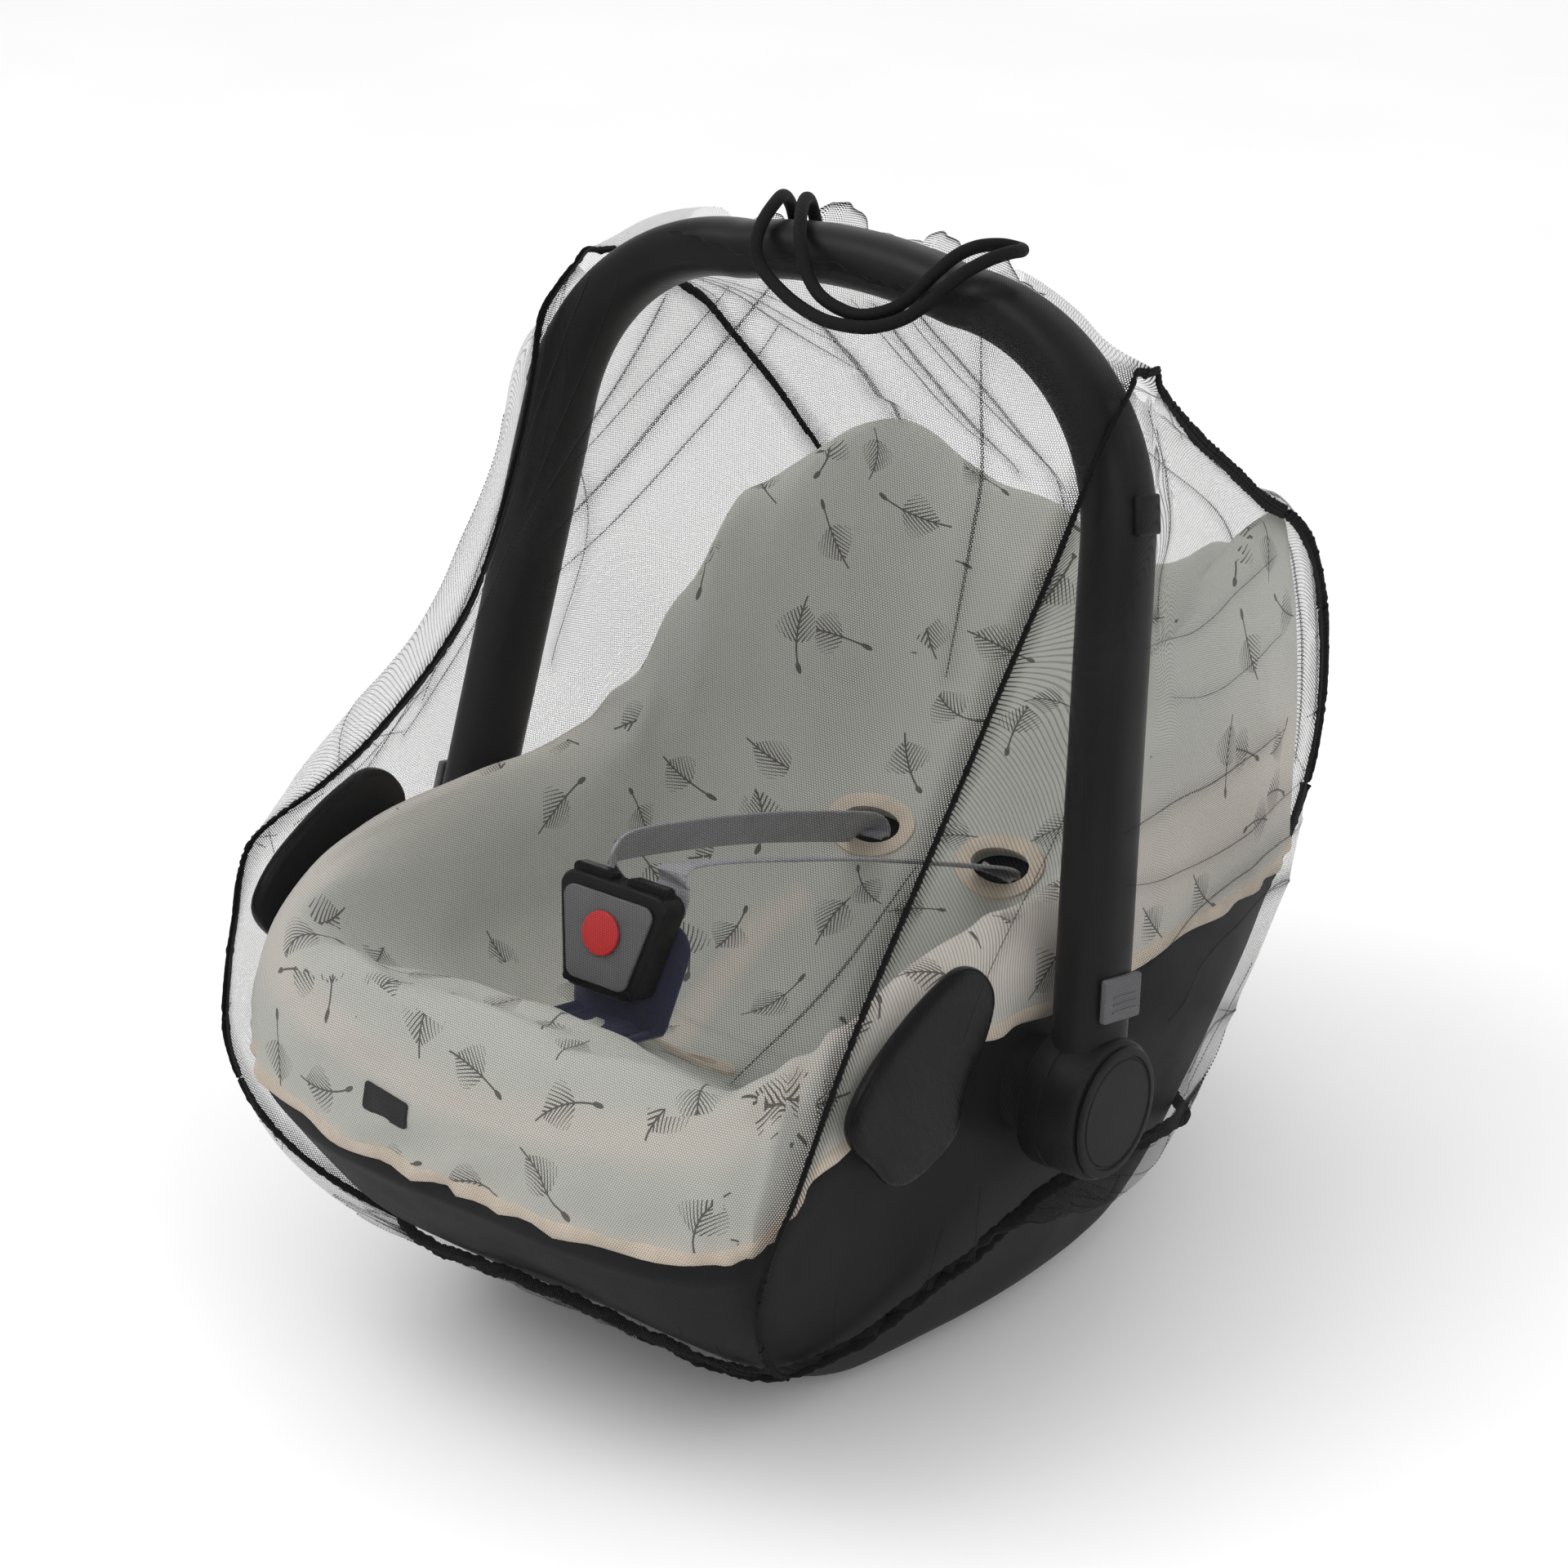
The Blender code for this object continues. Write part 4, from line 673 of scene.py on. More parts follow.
def hubTrim(side, tag):
    h = handle
    face, radius, thick = h["hubOuter"] + 0.0003, h["capRadius"], h["capThick"]
    top = face + thick
    profile = [(face, radius - 0.0012), (top - 0.0014, radius), (top - 0.0004, radius - 0.0008),
               (top, radius - 0.0022), (top, radius - 0.0042), (top - 0.001, radius - 0.0048),
               (top - 0.001, radius - 0.0058), (top - 0.0002, radius - 0.0066), (top + 0.0002, radius * 0.5),
               (top + 0.0003, 0.004)]
    cap = lathe(f"hub_disc_{tag}", profile, side, finish["handle"])
    ride(cap, "handle", f"hub_cap_{tag}")
    half = archHalfLength()
    lever = legPlate(f"release_lever_{tag}", side, half - 0.066, half - 0.044, 0.0315, 0.0034, finish["grey"], 0.0016)
    ribs = [legPlate("rib", side, half - run, half - run + 0.0012, 0.02, 0.004, finish["grey"], 0.0004)
            for run in (0.05, 0.0535, 0.057)]
    ride(joined(f"release_lever_{tag}", [lever] + ribs), "grey", f"release_{tag}")
    button = legPlate(f"fold_button_{tag}", side, 0.205, 0.222, 0.02, 0.0032, finish["handle"], 0.0018)
    ride(button, "handle", f"corner_button_{tag}")


def legPlate(name, side, runFrom, runTo, deep, thick, material, bevel):
    verts = []
    base = handle["thick"] / 2
    for run in (runFrom, runTo):
        for lift in (base - 0.001, base + thick):
            for depth in (-deep / 2, deep / 2):
                verts.append(archPoint(run, lift, depth) * (side, 1, 1))
    return softened(outward(addMesh(name, verts, boxFaces, material)), bevel)


handlePiece()
for side, tag in bothSides:
    hubTrim(side, tag)
print("stage: handle")


# Seat: padded cover and moulded shell, one row of the table for each station round the rim
seat = {
    "halfColumns": 20, "rows": 10, "shellRows": 6, "coverThick": 0.007, "skirtThick": 0.0035, "fitGap": 0.0006,
    "underRoom": 0.0035, "fineRing": 6, "fineRows": 6, "puff": 0.0012, "bossRadius": 0.026,
    "shoulderOut": 0.007, "shoulderUp": 0.006, "innerIn": 0.016, "innerDown": 0.011,    # the padded rim, off its crest
    "apronSeam": 0.0014, "hemGather": 0.0018, "footGather": 0.005, "liftMost": 0.003, "bindingHalf": (0.005, 0.0027),
    "slitHalf": 0.007,    # pale band from the buckle's pad to the far slot
    "slit": [(-0.04, -0.02, 0.127), (-0.061, 0.022, 0.118), (-0.069, 0.056, 0.124), (-0.07, 0.092, 0.14),
             (-0.06, 0.114, 0.154)],
    # skirt x, y, z, crest x, y, z, wall x, y, z, middle, belly x, y, z, base x, y
    "stations": [
        (0, -0.229, 0.147, 0, -0.207, 0.236, 0, -0.16, 0.221, -0.125, 0, -0.183, 0.088, 0, -0.06),
        (0.08, -0.228, 0.147, 0.08, -0.204, 0.234, 0.072, -0.162, 0.217, -0.117, 0.07, -0.178, 0.078, 0.06, -0.058),
        (0.14, -0.213, 0.15, 0.13, -0.193, 0.231, 0.11, -0.16, 0.205, -0.108, 0.116, -0.162, 0.068, 0.085, -0.052),
        (0.168, -0.196, 0.17, 0.152, -0.172, 0.238, 0.124, -0.14, 0.198, -0.092, 0.136, -0.14, 0.07, 0.097, -0.042),
        (0.176, -0.152, 0.202, 0.16, -0.132, 0.25, 0.13, -0.106, 0.184, -0.07, 0.149, -0.105, 0.076, 0.103, -0.028),
        (0.178, -0.085, 0.214, 0.163, -0.08, 0.256, 0.133, -0.065, 0.17, -0.045, 0.158, -0.06, 0.082, 0.108, -0.008),
        (0.174, -0.02, 0.204, 0.16, -0.018, 0.254, 0.131, -0.012, 0.16, -0.01, 0.163, -0.012, 0.085, 0.113, 0.015),
        (0.176, 0.045, 0.198, 0.157, 0.042, 0.252, 0.129, 0.045, 0.166, 0.035, 0.164, 0.045, 0.085, 0.117, 0.04),
        (0.176, 0.11, 0.196, 0.156, 0.1, 0.276, 0.124, 0.104, 0.195, 0.088, 0.16, 0.105, 0.086, 0.12, 0.07),
        (0.171, 0.176, 0.19, 0.152, 0.152, 0.329, 0.112, 0.165, 0.237, 0.15, 0.153, 0.163, 0.086, 0.12, 0.1),
        (0.158, 0.244, 0.18, 0.143, 0.214, 0.367, 0.1, 0.225, 0.276, 0.205, 0.14, 0.215, 0.088, 0.114, 0.13),
        (0.132, 0.31, 0.17, 0.127, 0.296, 0.363, 0.087, 0.273, 0.294, 0.25, 0.106, 0.258, 0.088, 0.098, 0.16),
        (0.072, 0.35, 0.16, 0.077, 0.34, 0.33, 0.052, 0.3, 0.282, 0.28, 0.06, 0.296, 0.088, 0.06, 0.185),
        (0, 0.36, 0.158, 0, 0.357, 0.293, 0, 0.325, 0.268, 0.3, 0, 0.308, 0.088, 0, 0.196),
    ],
    # middle line of the padding: y, z
    "middle": [
        (-0.125, 0.198), (-0.105, 0.184), (-0.08, 0.166), (-0.045, 0.14), (0.0, 0.12), (0.04, 0.116),
        (0.08, 0.131), (0.12, 0.16), (0.158, 0.187), (0.21, 0.219), (0.26, 0.245), (0.3, 0.262),
    ],
}
sideways = [0, 3, 6, 10, 13]  # columns of the table that hold an x


def seatColumns():
    stations = np.array(seat["stations"])
    mirrored = stations.copy()
    mirrored[:, sideways] *= -1
    ring = np.vstack([stations, mirrored[-2:0:-1]])
    padded = np.vstack([ring[-1:], ring, ring[:1], ring[1:2]])
    count = 2 * seat["halfColumns"]
    columns = curveThrough(padded, (shares(count)[:-1] * len(ring) + 1) / (len(padded) - 1))
    columns[:, sideways] = np.where(np.abs(columns[:, sideways]) < 1e-5, 0, columns[:, sideways])
    for n in range(1, seat["halfColumns"]):
        columns[count - n] = columns[n]
        columns[count - n][sideways] *= -1
    return columns


def middlePoint(y):
    fine = curveThrough(np.array(seat["middle"]), shares(300))
    return np.array([0.0, y, np.interp(y, fine[:, 0], fine[:, 1])])


def seatSlope(y):
    a, b = middlePoint(y - 0.01), middlePoint(y + 0.01)
    return math.atan2(b[2] - a[2], b[1] - a[1])


def seatProfile(column):  # skirt's edge, over the rim, down the wall, to the middle line
    skirt, crest, wall, middle = column[0:3], column[3:6], column[6:9], middlePoint(column[9])
    out = unit(skirt[:2] - wall[:2])
    out = np.array([out[0], out[1], 0])
    shoulder = (skirt + crest) / 2 + out * seat["shoulderOut"] + np.array([0, 0, seat["shoulderUp"]])
    inner = crest - out * seat["innerIn"] - np.array([0, 0, seat["innerDown"]])
    floor = middle + (wall - middle) * np.array([0.6, 0.6, 0.1])
    return [skirt, shoulder, crest, inner, wall, floor, middle]


def seatGrid():
    grid = []
    for column in seatColumns():
        points = seatProfile(column)
        grid.append(curveThrough(points, evenShares(points, seat["rows"])))
    return np.array(grid)


def ringNormals(grid):  # ring of columns, rows running in
    around = np.roll(grid, -1, axis=0) - np.roll(grid, 1, axis=0)
    inward = np.gradient(grid, axis=1)
    normal = unit(np.cross(around, inward))
    normal[:, -1] = normal[:, -2]
    return normal


def fineSeat():
    return refineRing(seatGrid(), seat["fineRing"], seat["fineRows"])


coverFolds = [
    # start column share, start row share, end column share, end row share, height, half width, in shares of the
    # ring (0 foot end, 0.25 near side, 0.5 head end) and of the way from the skirt's edge to the middle line
    (0.94, 0.16, 0.975, 0.3, 0.0022, 0.01), (0.965, 0.02, 0.985, 0.16, 0.003, 0.009),
    (0.99, 0.0, 0.006, 0.12, 0.0028, 0.008), (0.02, 0.0, 0.03, 0.13, 0.003, 0.008),
    (0.044, 0.0, 0.052, 0.14, 0.0028, 0.008), (0.07, 0.0, 0.078, 0.16, 0.0026, 0.009),
    (0.1, 0.02, 0.12, 0.3, 0.003, 0.01), (0.13, 0.05, 0.15, 0.36, 0.0026, 0.01),
    (0.23, 0.1, 0.25, 0.5, 0.0022, 0.012), (0.29, 0.1, 0.3, 0.55, 0.0024, 0.012),
    (0.335, 0.2, 0.36, 0.6, 0.0026, 0.012), (0.38, 0.15, 0.4, 0.45, 0.0022, 0.012),
    (0.62, 0.15, 0.64, 0.5, 0.002, 0.012), (0.7, 0.1, 0.715, 0.5, 0.0022, 0.012),
]


def coverSurface():
    grid = fineSeat()
    normal = ringNormals(grid)
    ring, rows = grid.shape[:2]
    c = (np.arange(ring) / ring)[:, None] * np.ones(rows)
    r = np.ones(ring)[:, None] * (np.arange(rows) / (rows - 1))
    lift = np.zeros((ring, rows))
    for c0, r0, c1, r1, height, half in coverFolds:
        around = (c - c0 + 0.5) % 1 - 0.5
        reach = np.array([((c1 - c0 + 0.5) % 1 - 0.5) * 1.5, (r1 - r0) * 0.35])
        t = limit((around * 1.5 * reach[0] + (r - r0) * 0.35 * reach[1]) / (reach @ reach))
        off = np.hypot(around * 1.5 - t * reach[0], (r - r0) * 0.35 - t * reach[1])
        taper = np.sin(np.pi * np.clip(t, 0.06, 0.94)) ** 0.5
        lift += height * taper * np.exp(-(off / half) ** 2)
        lift -= height * 0.45 * taper * np.exp(-((off - 1.7 * half) / half) ** 2)
    crest = np.exp(-((r - 0.23) / 0.014) ** 2)
    lift -= crest * seat["apronSeam"] * (np.cos(2 * np.pi * c) > 0.2)     # the apron's top seam
    puff = np.array([noise.noise(Vector(p) * 28) for p in grid.reshape(-1, 3)]).reshape(ring, rows)
    inside = limit((r - 0.3) / 0.1) * (1 - limit((r - 0.9) / 0.1))
    lift += puff * seat["puff"] * (0.5 + inside)
    edge = limit(1 - r / 0.05)
    gather = np.sin(c * 2 * np.pi * 31 + 3 * np.sin(c * 2 * np.pi * 5))
    lift += edge * gather * seat["hemGather"]
    foot = limit((-0.1 - grid[..., 1]) / 0.05)        # the apron is gathered under the foot end
    fold = np.abs(np.sin(c * np.pi * 43 + 2.2 * np.sin(c * 2 * np.pi * 9)))
    lift += foot * limit(1 - r / 0.13) * (0.5 - fold) * seat["footGather"]
    lift = np.minimum(lift, seat["liftMost"])
    seam = limit((1 - r) / 0.06)                       # quiet where the two halves meet
    return grid + normal * (lift * seam)[..., None], normal, r


coverGrid, coverNormal, coverRow = coverSurface()


def coverPiece():
    ring, rows = coverGrid.shape[:2]
    thick = seat["skirtThick"] + (seat["coverThick"] - seat["skirtThick"]) * limit(coverRow * 0.33 / 0.05)
    under = coverGrid - coverNormal * thick[..., None]
    verts = np.vstack([coverGrid.reshape(-1, 3), under.reshape(-1, 3)])
    faces = []
    count = ring * rows
    for c in range(ring):
        n = (c + 1) % ring
        for r in range(rows - 1):
            a, b = c * rows + r, n * rows + r
            faces.append((a, b, b + 1, a + 1))
            faces.append((count + a + 1, count + b + 1, count + b, count + a))
        faces.append((c * rows, count + c * rows, count + n * rows, n * rows))
    along = limit((coverGrid[..., 1] + 0.16) / 0.06)
    # painted light: a warm band along the padded rim's crest
    rim = np.exp(-((coverRow - 0.13) / 0.1) ** 2) * along
    apron = np.exp(-((coverRow - 0.24) / 0.05) ** 2) * (1 - along) * 0.8     # the apron's pale top
    line = curveThrough(seat["slit"], shares(60))
    near = np.sqrt(((coverGrid[:, :, None, :] - line) ** 2).sum(axis=3)).min(axis=2)
    apron = np.maximum(apron, 1.2 * limit(1.6 - near / seat["slitHalf"]))
    rim = limit(np.maximum(rim + apron, limit(1 - coverRow / 0.06)))
    values = {"rim": np.concatenate([rim.ravel(), rim.ravel()]) * 0.8}
    ob = addMesh("seat_cover_sewn", verts, faces, finish["cover"], None, values, sharp=180)
    with meshWork(ob) as work:
        bmesh.ops.remove_doubles(work, verts=work.verts, dist=1e-5)
        bmesh.ops.dissolve_degenerate(work, edges=work.edges, dist=1e-6)
        loose = [f for f in work.faces if f.calc_area() < 1e-12]
        bmesh.ops.delete(work, geom=loose, context="FACES_ONLY")
    for side, slot in ((1, "slot"), (-1, "slot"), (1, "crotch")):
        cut = ob.modifiers.new("slot", "BOOLEAN")
        cut.object = ovalTool(side, harness[slot], harness[slot + "Half"], 0.03)
        cut.operation = "DIFFERENCE"
        cut.solver = "EXACT"
    settle(ob)
    for tool in [o for o in bpy.data.objects if o.name.startswith("ovalTool")]:
        bpy.data.objects.remove(tool)
    panelMap(ob)
    ob.data.shade_smooth()
    ob.data.set_sharp_from_angle(angle=math.radians(60))
    return ob


def panelMap(ob):  # a map in metres, cut into flat panels by the way each face looks
    mesh = ob.data
    normals = np.zeros(len(mesh.polygons) * 3)
    mesh.polygons.foreach_get("normal", normals)
    normals = normals.reshape(-1, 3)
    verts = np.zeros(len(mesh.vertices) * 3)
    mesh.vertices.foreach_get("co", verts)
    verts = verts.reshape(-1, 3)
    loopPoint = np.zeros(len(mesh.loops), int)
    mesh.loops.foreach_get("vertex_index", loopPoint)
    loopFace = np.repeat(np.arange(len(mesh.polygons)), [p.loop_total for p in mesh.polygons])
    p, n = verts[loopPoint], normals[loopFace]
    back = math.radians(34)
    uv = np.stack([p[:, 0], p[:, 1] * math.cos(back) + p[:, 2] * math.sin(back)], axis=1)
    level = np.stack([p[:, 0] + 0.7, p[:, 1]], axis=1)
    upright = np.stack([p[:, 0] + 1.4, p[:, 2]], axis=1)
    aside = np.stack([p[:, 1] + 2.1, p[:, 2] + np.sign(n[:, 0]) * 0.7], axis=1)
    steep = np.abs(n[:, 0]) > 0.66
    front = ~steep & (np.abs(n[:, 1]) > 0.8)
    flat = ~steep & ~front & (p[:, 1] < 0.02)
    uv[flat] = level[flat]
    uv[front] = upright[front]
    uv[steep] = aside[steep]
    layer = mesh.uv_layers.get("cloth") or mesh.uv_layers.new(name="cloth")
    layer.data.foreach_set("uv", uv.ravel())


harness = {
    "slot": (0.043, 0.158, 0.189), "slotHalf": (0.019, 0.012), "trimHalf": (0.027, 0.02),
    "crotch": (0.0, -0.058, 0.15), "crotchHalf": (0.012, 0.028), "crotchTrimHalf": (0.022, 0.038),
    "buckleFoot": (0.0, -0.108, 0.206), "buckleLean": math.radians(16),
    "buckleSize": (0.066, 0.056, 0.018), "strapWidth": 0.024, "strapThick": 0.0016, "strapSeat": 0.007,
    "twist": {"left": 58, "right": 14},    # degrees that a strap turns on its way
}


def seatAxes(y):  # up along the padding, and out from it
    slope = seatSlope(y)
    return np.array([0, math.cos(slope), math.sin(slope)]), np.array([0, -math.sin(slope), math.cos(slope)])


def ovalRing(side, centre, size, count):
    along, away = seatAxes(centre[1])
    middle = np.array(centre) * (side, 1, 1)
    angle = circleAngles(count)
    ring = middle + np.outer(np.cos(angle) * size[0], [1, 0, 0]) + np.outer(np.sin(angle) * size[1], along)
    return ring, away


def ovalTool(side, centre, size, reach):
    count = 40
    ring, away = ovalRing(side, centre, size, count)
    verts = np.vstack([ring - away * reach, ring + away * reach])
    tool = outward(addMesh("ovalTool", verts, tubeFaces(2, count), finish["cover"], smooth=False))
    tool.hide_render = True
    return tool


cover = coverPiece()
ride(cover, "cover", "seat_cover")
coverTree = treeOf(cover)
print("stage: seat cover", len(cover.data.polygons), "faces")


def onto(place, away, lift):  # moves a place along the direction until it lies on the cover
    start = Vector(place) + Vector(away) * 0.04
    hit = coverTree.ray_cast(start, -Vector(away), 0.12)[0]
    return (np.array(hit) if hit is not None else np.array(place)) + np.asarray(away) * lift


def trimRing(name, side, centre, inner, outer, node):
    count, steps = 56, 6
    away = ovalRing(side, centre, inner, 4)[1]
    rings = []
    for k in range(steps + 1):
        t = k / steps
        size = [i - 0.001 + (o - i + 0.001) * t for i, o in zip(inner, outer)]
        ring = ovalRing(side, centre, size, count)[0]
        lift = 0.0008 + 0.0018 * math.sin(math.pi * (0.12 + 0.76 * t)) ** 0.6
        if k == 0:
            outerRing = ovalRing(side, centre, [inner[0] + 0.0015, inner[1] + 0.0015], count)[0]
            rings.append([onto(p, away, lift) + (q - p) for p, q in zip(outerRing, ring)])
        else:
            rings.append([onto(p, away, lift) for p in ring])
    rings.append([np.array(p) - away * 0.0024 for p in rings[-1]])
    rings.append([np.array(p) - away * 0.003 for p in rings[0]])
    verts = np.array(rings)
    total = len(rings)
    faces = []
    for r in range(total):
        for k in range(count):
            n = (k + 1) % count
            s = (r + 1) % total
            faces.append((r * count + k, r * count + n, s * count + n, s * count + k))
    angle = np.arange(count) / count * 2 * math.pi * outer[0]
    across = np.arange(total)[:, None] * 0.0016
    uv = np.stack([np.broadcast_to(angle, (total, count)), np.broadcast_to(across, (total, count))], axis=2)
    ring = outward(addMesh(name, verts.reshape(-1, 3), faces, finish["trim"], uv.reshape(-1, 2), sharp=60))
    return ride(ring, "trim", node)


def edgeBinding():  # cream binding sewn along the cover's lower edge
    line = coverGrid[:, 0]
    inner = unit(coverGrid[:, 2] - line)
    count = len(line)
    ring = np.vstack([line, line[:1]])
    across = np.vstack([inner, inner[:1]])
    normal = np.vstack([coverNormal[:, 0], coverNormal[:1, 0]])
    centre = ring + across * 0.0025 - normal * 0.0016
    sides, (wide, thick) = 12, seat["bindingHalf"]
    rings = [centre + across * wide * math.cos(a) + normal * thick * math.sin(a) for a in circleAngles(sides)]
    verts = np.stack(rings, axis=1)[:-1].reshape(-1, 3)
    uv = np.stack([np.broadcast_to(np.arange(sides) * 0.0015, (count, sides)),
                   np.broadcast_to(runAlong(line)[:, None], (count, sides))], axis=2)
    band = outward(addMesh("cover_binding", verts, loopFaces(count, sides), finish["trim"], uv.reshape(-1, 2),
                           sharp=180))
    return ride(band, "trim")


edgeBinding()
for side, tag in bothSides:
    trimRing(f"slot_facing_{tag}", side, harness["slot"], harness["slotHalf"], harness["trimHalf"], f"slot_trim_{tag}")
trimRing("crotch_facing", 1, harness["crotch"], harness["crotchHalf"], harness["crotchTrimHalf"], "crotch_trim")


# Shell under the cover
def shellPiece():
    fine = fineSeat()
    normal = ringNormals(fine)
    ring = len(fine)
    reach = arcAlong(fine, 1)
    thick = seat["skirtThick"] + (seat["coverThick"] - seat["skirtThick"]) * limit(reach / 0.05)
    thick = thick + seat["underRoom"] * limit(reach / 0.03) + seat["fitGap"]
    inner = fine - normal * thick[..., None]
    for column in inner:                       # rounds the shell's edge under the rim
        top = int(np.argmax(column[:, 2]))
        heart = (column[max(top - 12, 0)] + column[top + 12]) / 2
        for row in range(max(top - 11, 0), top + 12):
            share = 0.25 * math.cos(math.pi / 2 * (row - top) / 12)
            column[row] += (heart - column[row]) * share
    outer = []
    for c, column in enumerate(seatColumns()):
        top = inner[c * seat["fineRing"], 0]
        belly, base = column[10:13], np.array([column[13], column[14], 0.0])
        out = unit(np.array([belly[0], belly[1] - 0.05, 0]))
        below = top - np.array([0, 0, 0.01])
        flank = (top + belly) / 2 + out * 0.006
        points = [below, flank, belly, belly * 0.35 + base * 0.65 + np.array([0, 0, -0.006]) + out * 0.01, base]
        line = curveThrough(points, evenShares(points, seat["shellRows"]))
        line[-1] = base
        outer.append(line)
    outer = refineRing(np.array(outer), seat["fineRing"], 4)
    outer[:, -1, 2] = 0.0
    outer[..., 2] = np.maximum(outer[..., 2], 0.0)
    middle = np.stack([np.zeros(ring), np.clip(outer[:, -1, 1], -0.02, 0.14), np.zeros(ring)], axis=1)
    foot = outer[:, -1] * 0.96 + middle * 0.04
    whole = np.concatenate([inner[:, ::-1], outer, foot[:, None], middle[:, None]], axis=1)
    total = whole.shape[1]
    faces = []
    for c in range(ring):
        n = (c + 1) % ring
        for k in range(total - 1):
            faces.append((c * total + k + 1, n * total + k + 1, n * total + k, c * total + k))
    ob = addMesh("shell_moulded", whole.reshape(-1, 3), faces, finish["shell"], sharp=45)
    with meshWork(ob) as work:
        bmesh.ops.remove_doubles(work, verts=work.verts, dist=1e-5)
        bmesh.ops.dissolve_degenerate(work, edges=work.edges, dist=1e-6)
        bmesh.ops.recalc_face_normals(work, faces=work.faces)
    inner, radius = handle["hubInner"] - 0.0003, seat["bossRadius"]
    profile = [(0.15, radius), (inner - 0.002, radius), (inner - 0.0005, radius - 0.0006), (inner, radius - 0.002)]
    bosses = [lathe("boss", profile, side, finish["shell"], 48) for side in (1, -1)]
    return ride(joined("shell_moulded", [ob] + bosses), "shell", "carrier_shell")


shellPiece()
print("stage: shell")


# Belt guides: glossy horns on the seat's sides
guide = {
    "inner": 0.1837, "outer": 0.1918, "heart": (-0.112, 0.222), "rounding": 0.0042,
    "footLow": (0.148, -0.132, 0.174), "footHigh": (0.191, -0.1, 0.19),
    "outline": [    # y, z
        (-0.152, 0.19), (-0.168, 0.209), (-0.169, 0.224), (-0.153, 0.241), (-0.124, 0.256), (-0.1, 0.264),
        (-0.083, 0.266), (-0.068, 0.258), (-0.059, 0.242), (-0.065, 0.223), (-0.08, 0.205), (-0.09, 0.18),
        (-0.118, 0.171), (-0.138, 0.175),
    ],
}


def guidePiece(side, tag):
    outline = np.array(guide["outline"])
    count = len(outline)
    wrapped = np.vstack([outline[-2:], outline, outline[:3]])
    fine = curveThrough(wrapped, (np.arange(count * 8) / 8 + 2) / (len(wrapped) - 1))
    ahead = np.roll(fine, -1, axis=0) - np.roll(fine, 1, axis=0)
    out = unit(np.stack([-ahead[:, 1], ahead[:, 0]], axis=1))
    if np.sum(out * (fine - fine.mean(axis=0))) < 0:
        out = -out
    middle, half = (guide["inner"] + guide["outer"]) / 2, (guide["outer"] - guide["inner"]) / 2
    steps = 9
    layers = []
    centre = np.array(guide["heart"])
    for k in range(-3, steps + 3):
        a = math.pi * min(max(k, 0), steps - 1) / (steps - 1)
        ring = fine - out * guide["rounding"] * (1 - math.sin(a) ** 0.55)
        inside = max(0, -k, k - steps + 1)
        ring = centre + (ring - centre) * (1, 0.78, 0.45, 0.12)[inside]
        x = middle - half * math.cos(a) + math.copysign(0.0002 * inside, k)
        layers.append(np.column_stack([np.full(len(ring), side * x), ring]))
    verts = np.concatenate(layers)
    horn = outward(addMesh("horn", verts, tubeFaces(len(layers), len(fine)), finish["glossy"], sharp=50))
    low, high = guide["footLow"], guide["footHigh"]
    corners = [(side * x, y, z) for x in (low[0] + 0.012, high[0] - 0.003) for y in (low[1], high[1])
               for z in (low[2], high[2])]
    foot = softened(outward(addMesh("foot", corners, boxFaces, finish["glossy"])), 0.003)
    return ride(joined(f"belt_horn_{tag}", [horn, foot]), "handle", f"belt_guide_{tag}")


for side, tag in bothSides:
    guidePiece(side, tag)
print("stage: belt guides")


# Stitches: rounded threads laid along a line
stitch = {
    "seam": {"spacing": 0.0036, "length": 0.0024, "thick": 0.00045, "material": finish["thread"]},
    "white": {"spacing": 0.0021, "length": 0.0017, "thick": 0.00065, "material": finish["whiteThread"]},
}


def stitchTree():
    tree = bpy.data.node_groups.new("stitchesAlongLine", "GeometryNodeTree")
    face = tree.interface
    face.new_socket("Geometry", in_out="INPUT", socket_type="NodeSocketGeometry")
    for label in ("Spacing", "Length", "Thickness"):
        face.new_socket(label, in_out="INPUT", socket_type="NodeSocketFloat")
    face.new_socket("Thread", in_out="INPUT", socket_type="NodeSocketMaterial")
    face.new_socket("Geometry", in_out="OUTPUT", socket_type="NodeSocketGeometry")
    make = tree.nodes.new
    start, end = make("NodeGroupInput"), make("NodeGroupOutput")
    curve, points = make("GeometryNodeMeshToCurve"), make("GeometryNodeCurveToPoints")
    points.mode = "LENGTH"
    ball, shape, size = make("GeometryNodeMeshUVSphere"), make("GeometryNodeTransform"), make("ShaderNodeCombineXYZ")
    ball.inputs["Segments"].default_value = 6
    ball.inputs["Rings"].default_value = 4
    ball.inputs["Radius"].default_value = 0.5
    turn, place = make("FunctionNodeAlignRotationToVector"), make("GeometryNodeInstanceOnPoints")
    turn.axis = "Z"
    real, paint = make("GeometryNodeRealizeInstances"), make("GeometryNodeSetMaterial")
    for source, output, target, socket in (
            (start, "Geometry", curve, "Mesh"), (curve, "Curve", points, "Curve"),
            (start, "Spacing", points, "Length"),
            (ball, "Mesh", shape, "Geometry"), (start, "Thickness", size, 0), (start, "Thickness", size, 1),
            (start, "Length", size, 2), (size, 0, shape, "Scale"), (points, "Points", place, "Points"),
            (shape, "Geometry", place, "Instance"), (points, "Tangent", turn, "Vector"),
            (turn, "Rotation", place, "Rotation"), (place, "Instances", real, "Geometry"),
            (real, "Geometry", paint, "Geometry"), (start, "Thread", paint, "Material"),
            (paint, "Geometry", end, "Geometry")):
        tree.links.new(source.outputs[output], target.inputs[socket])
    return tree


stitches = stitchTree()


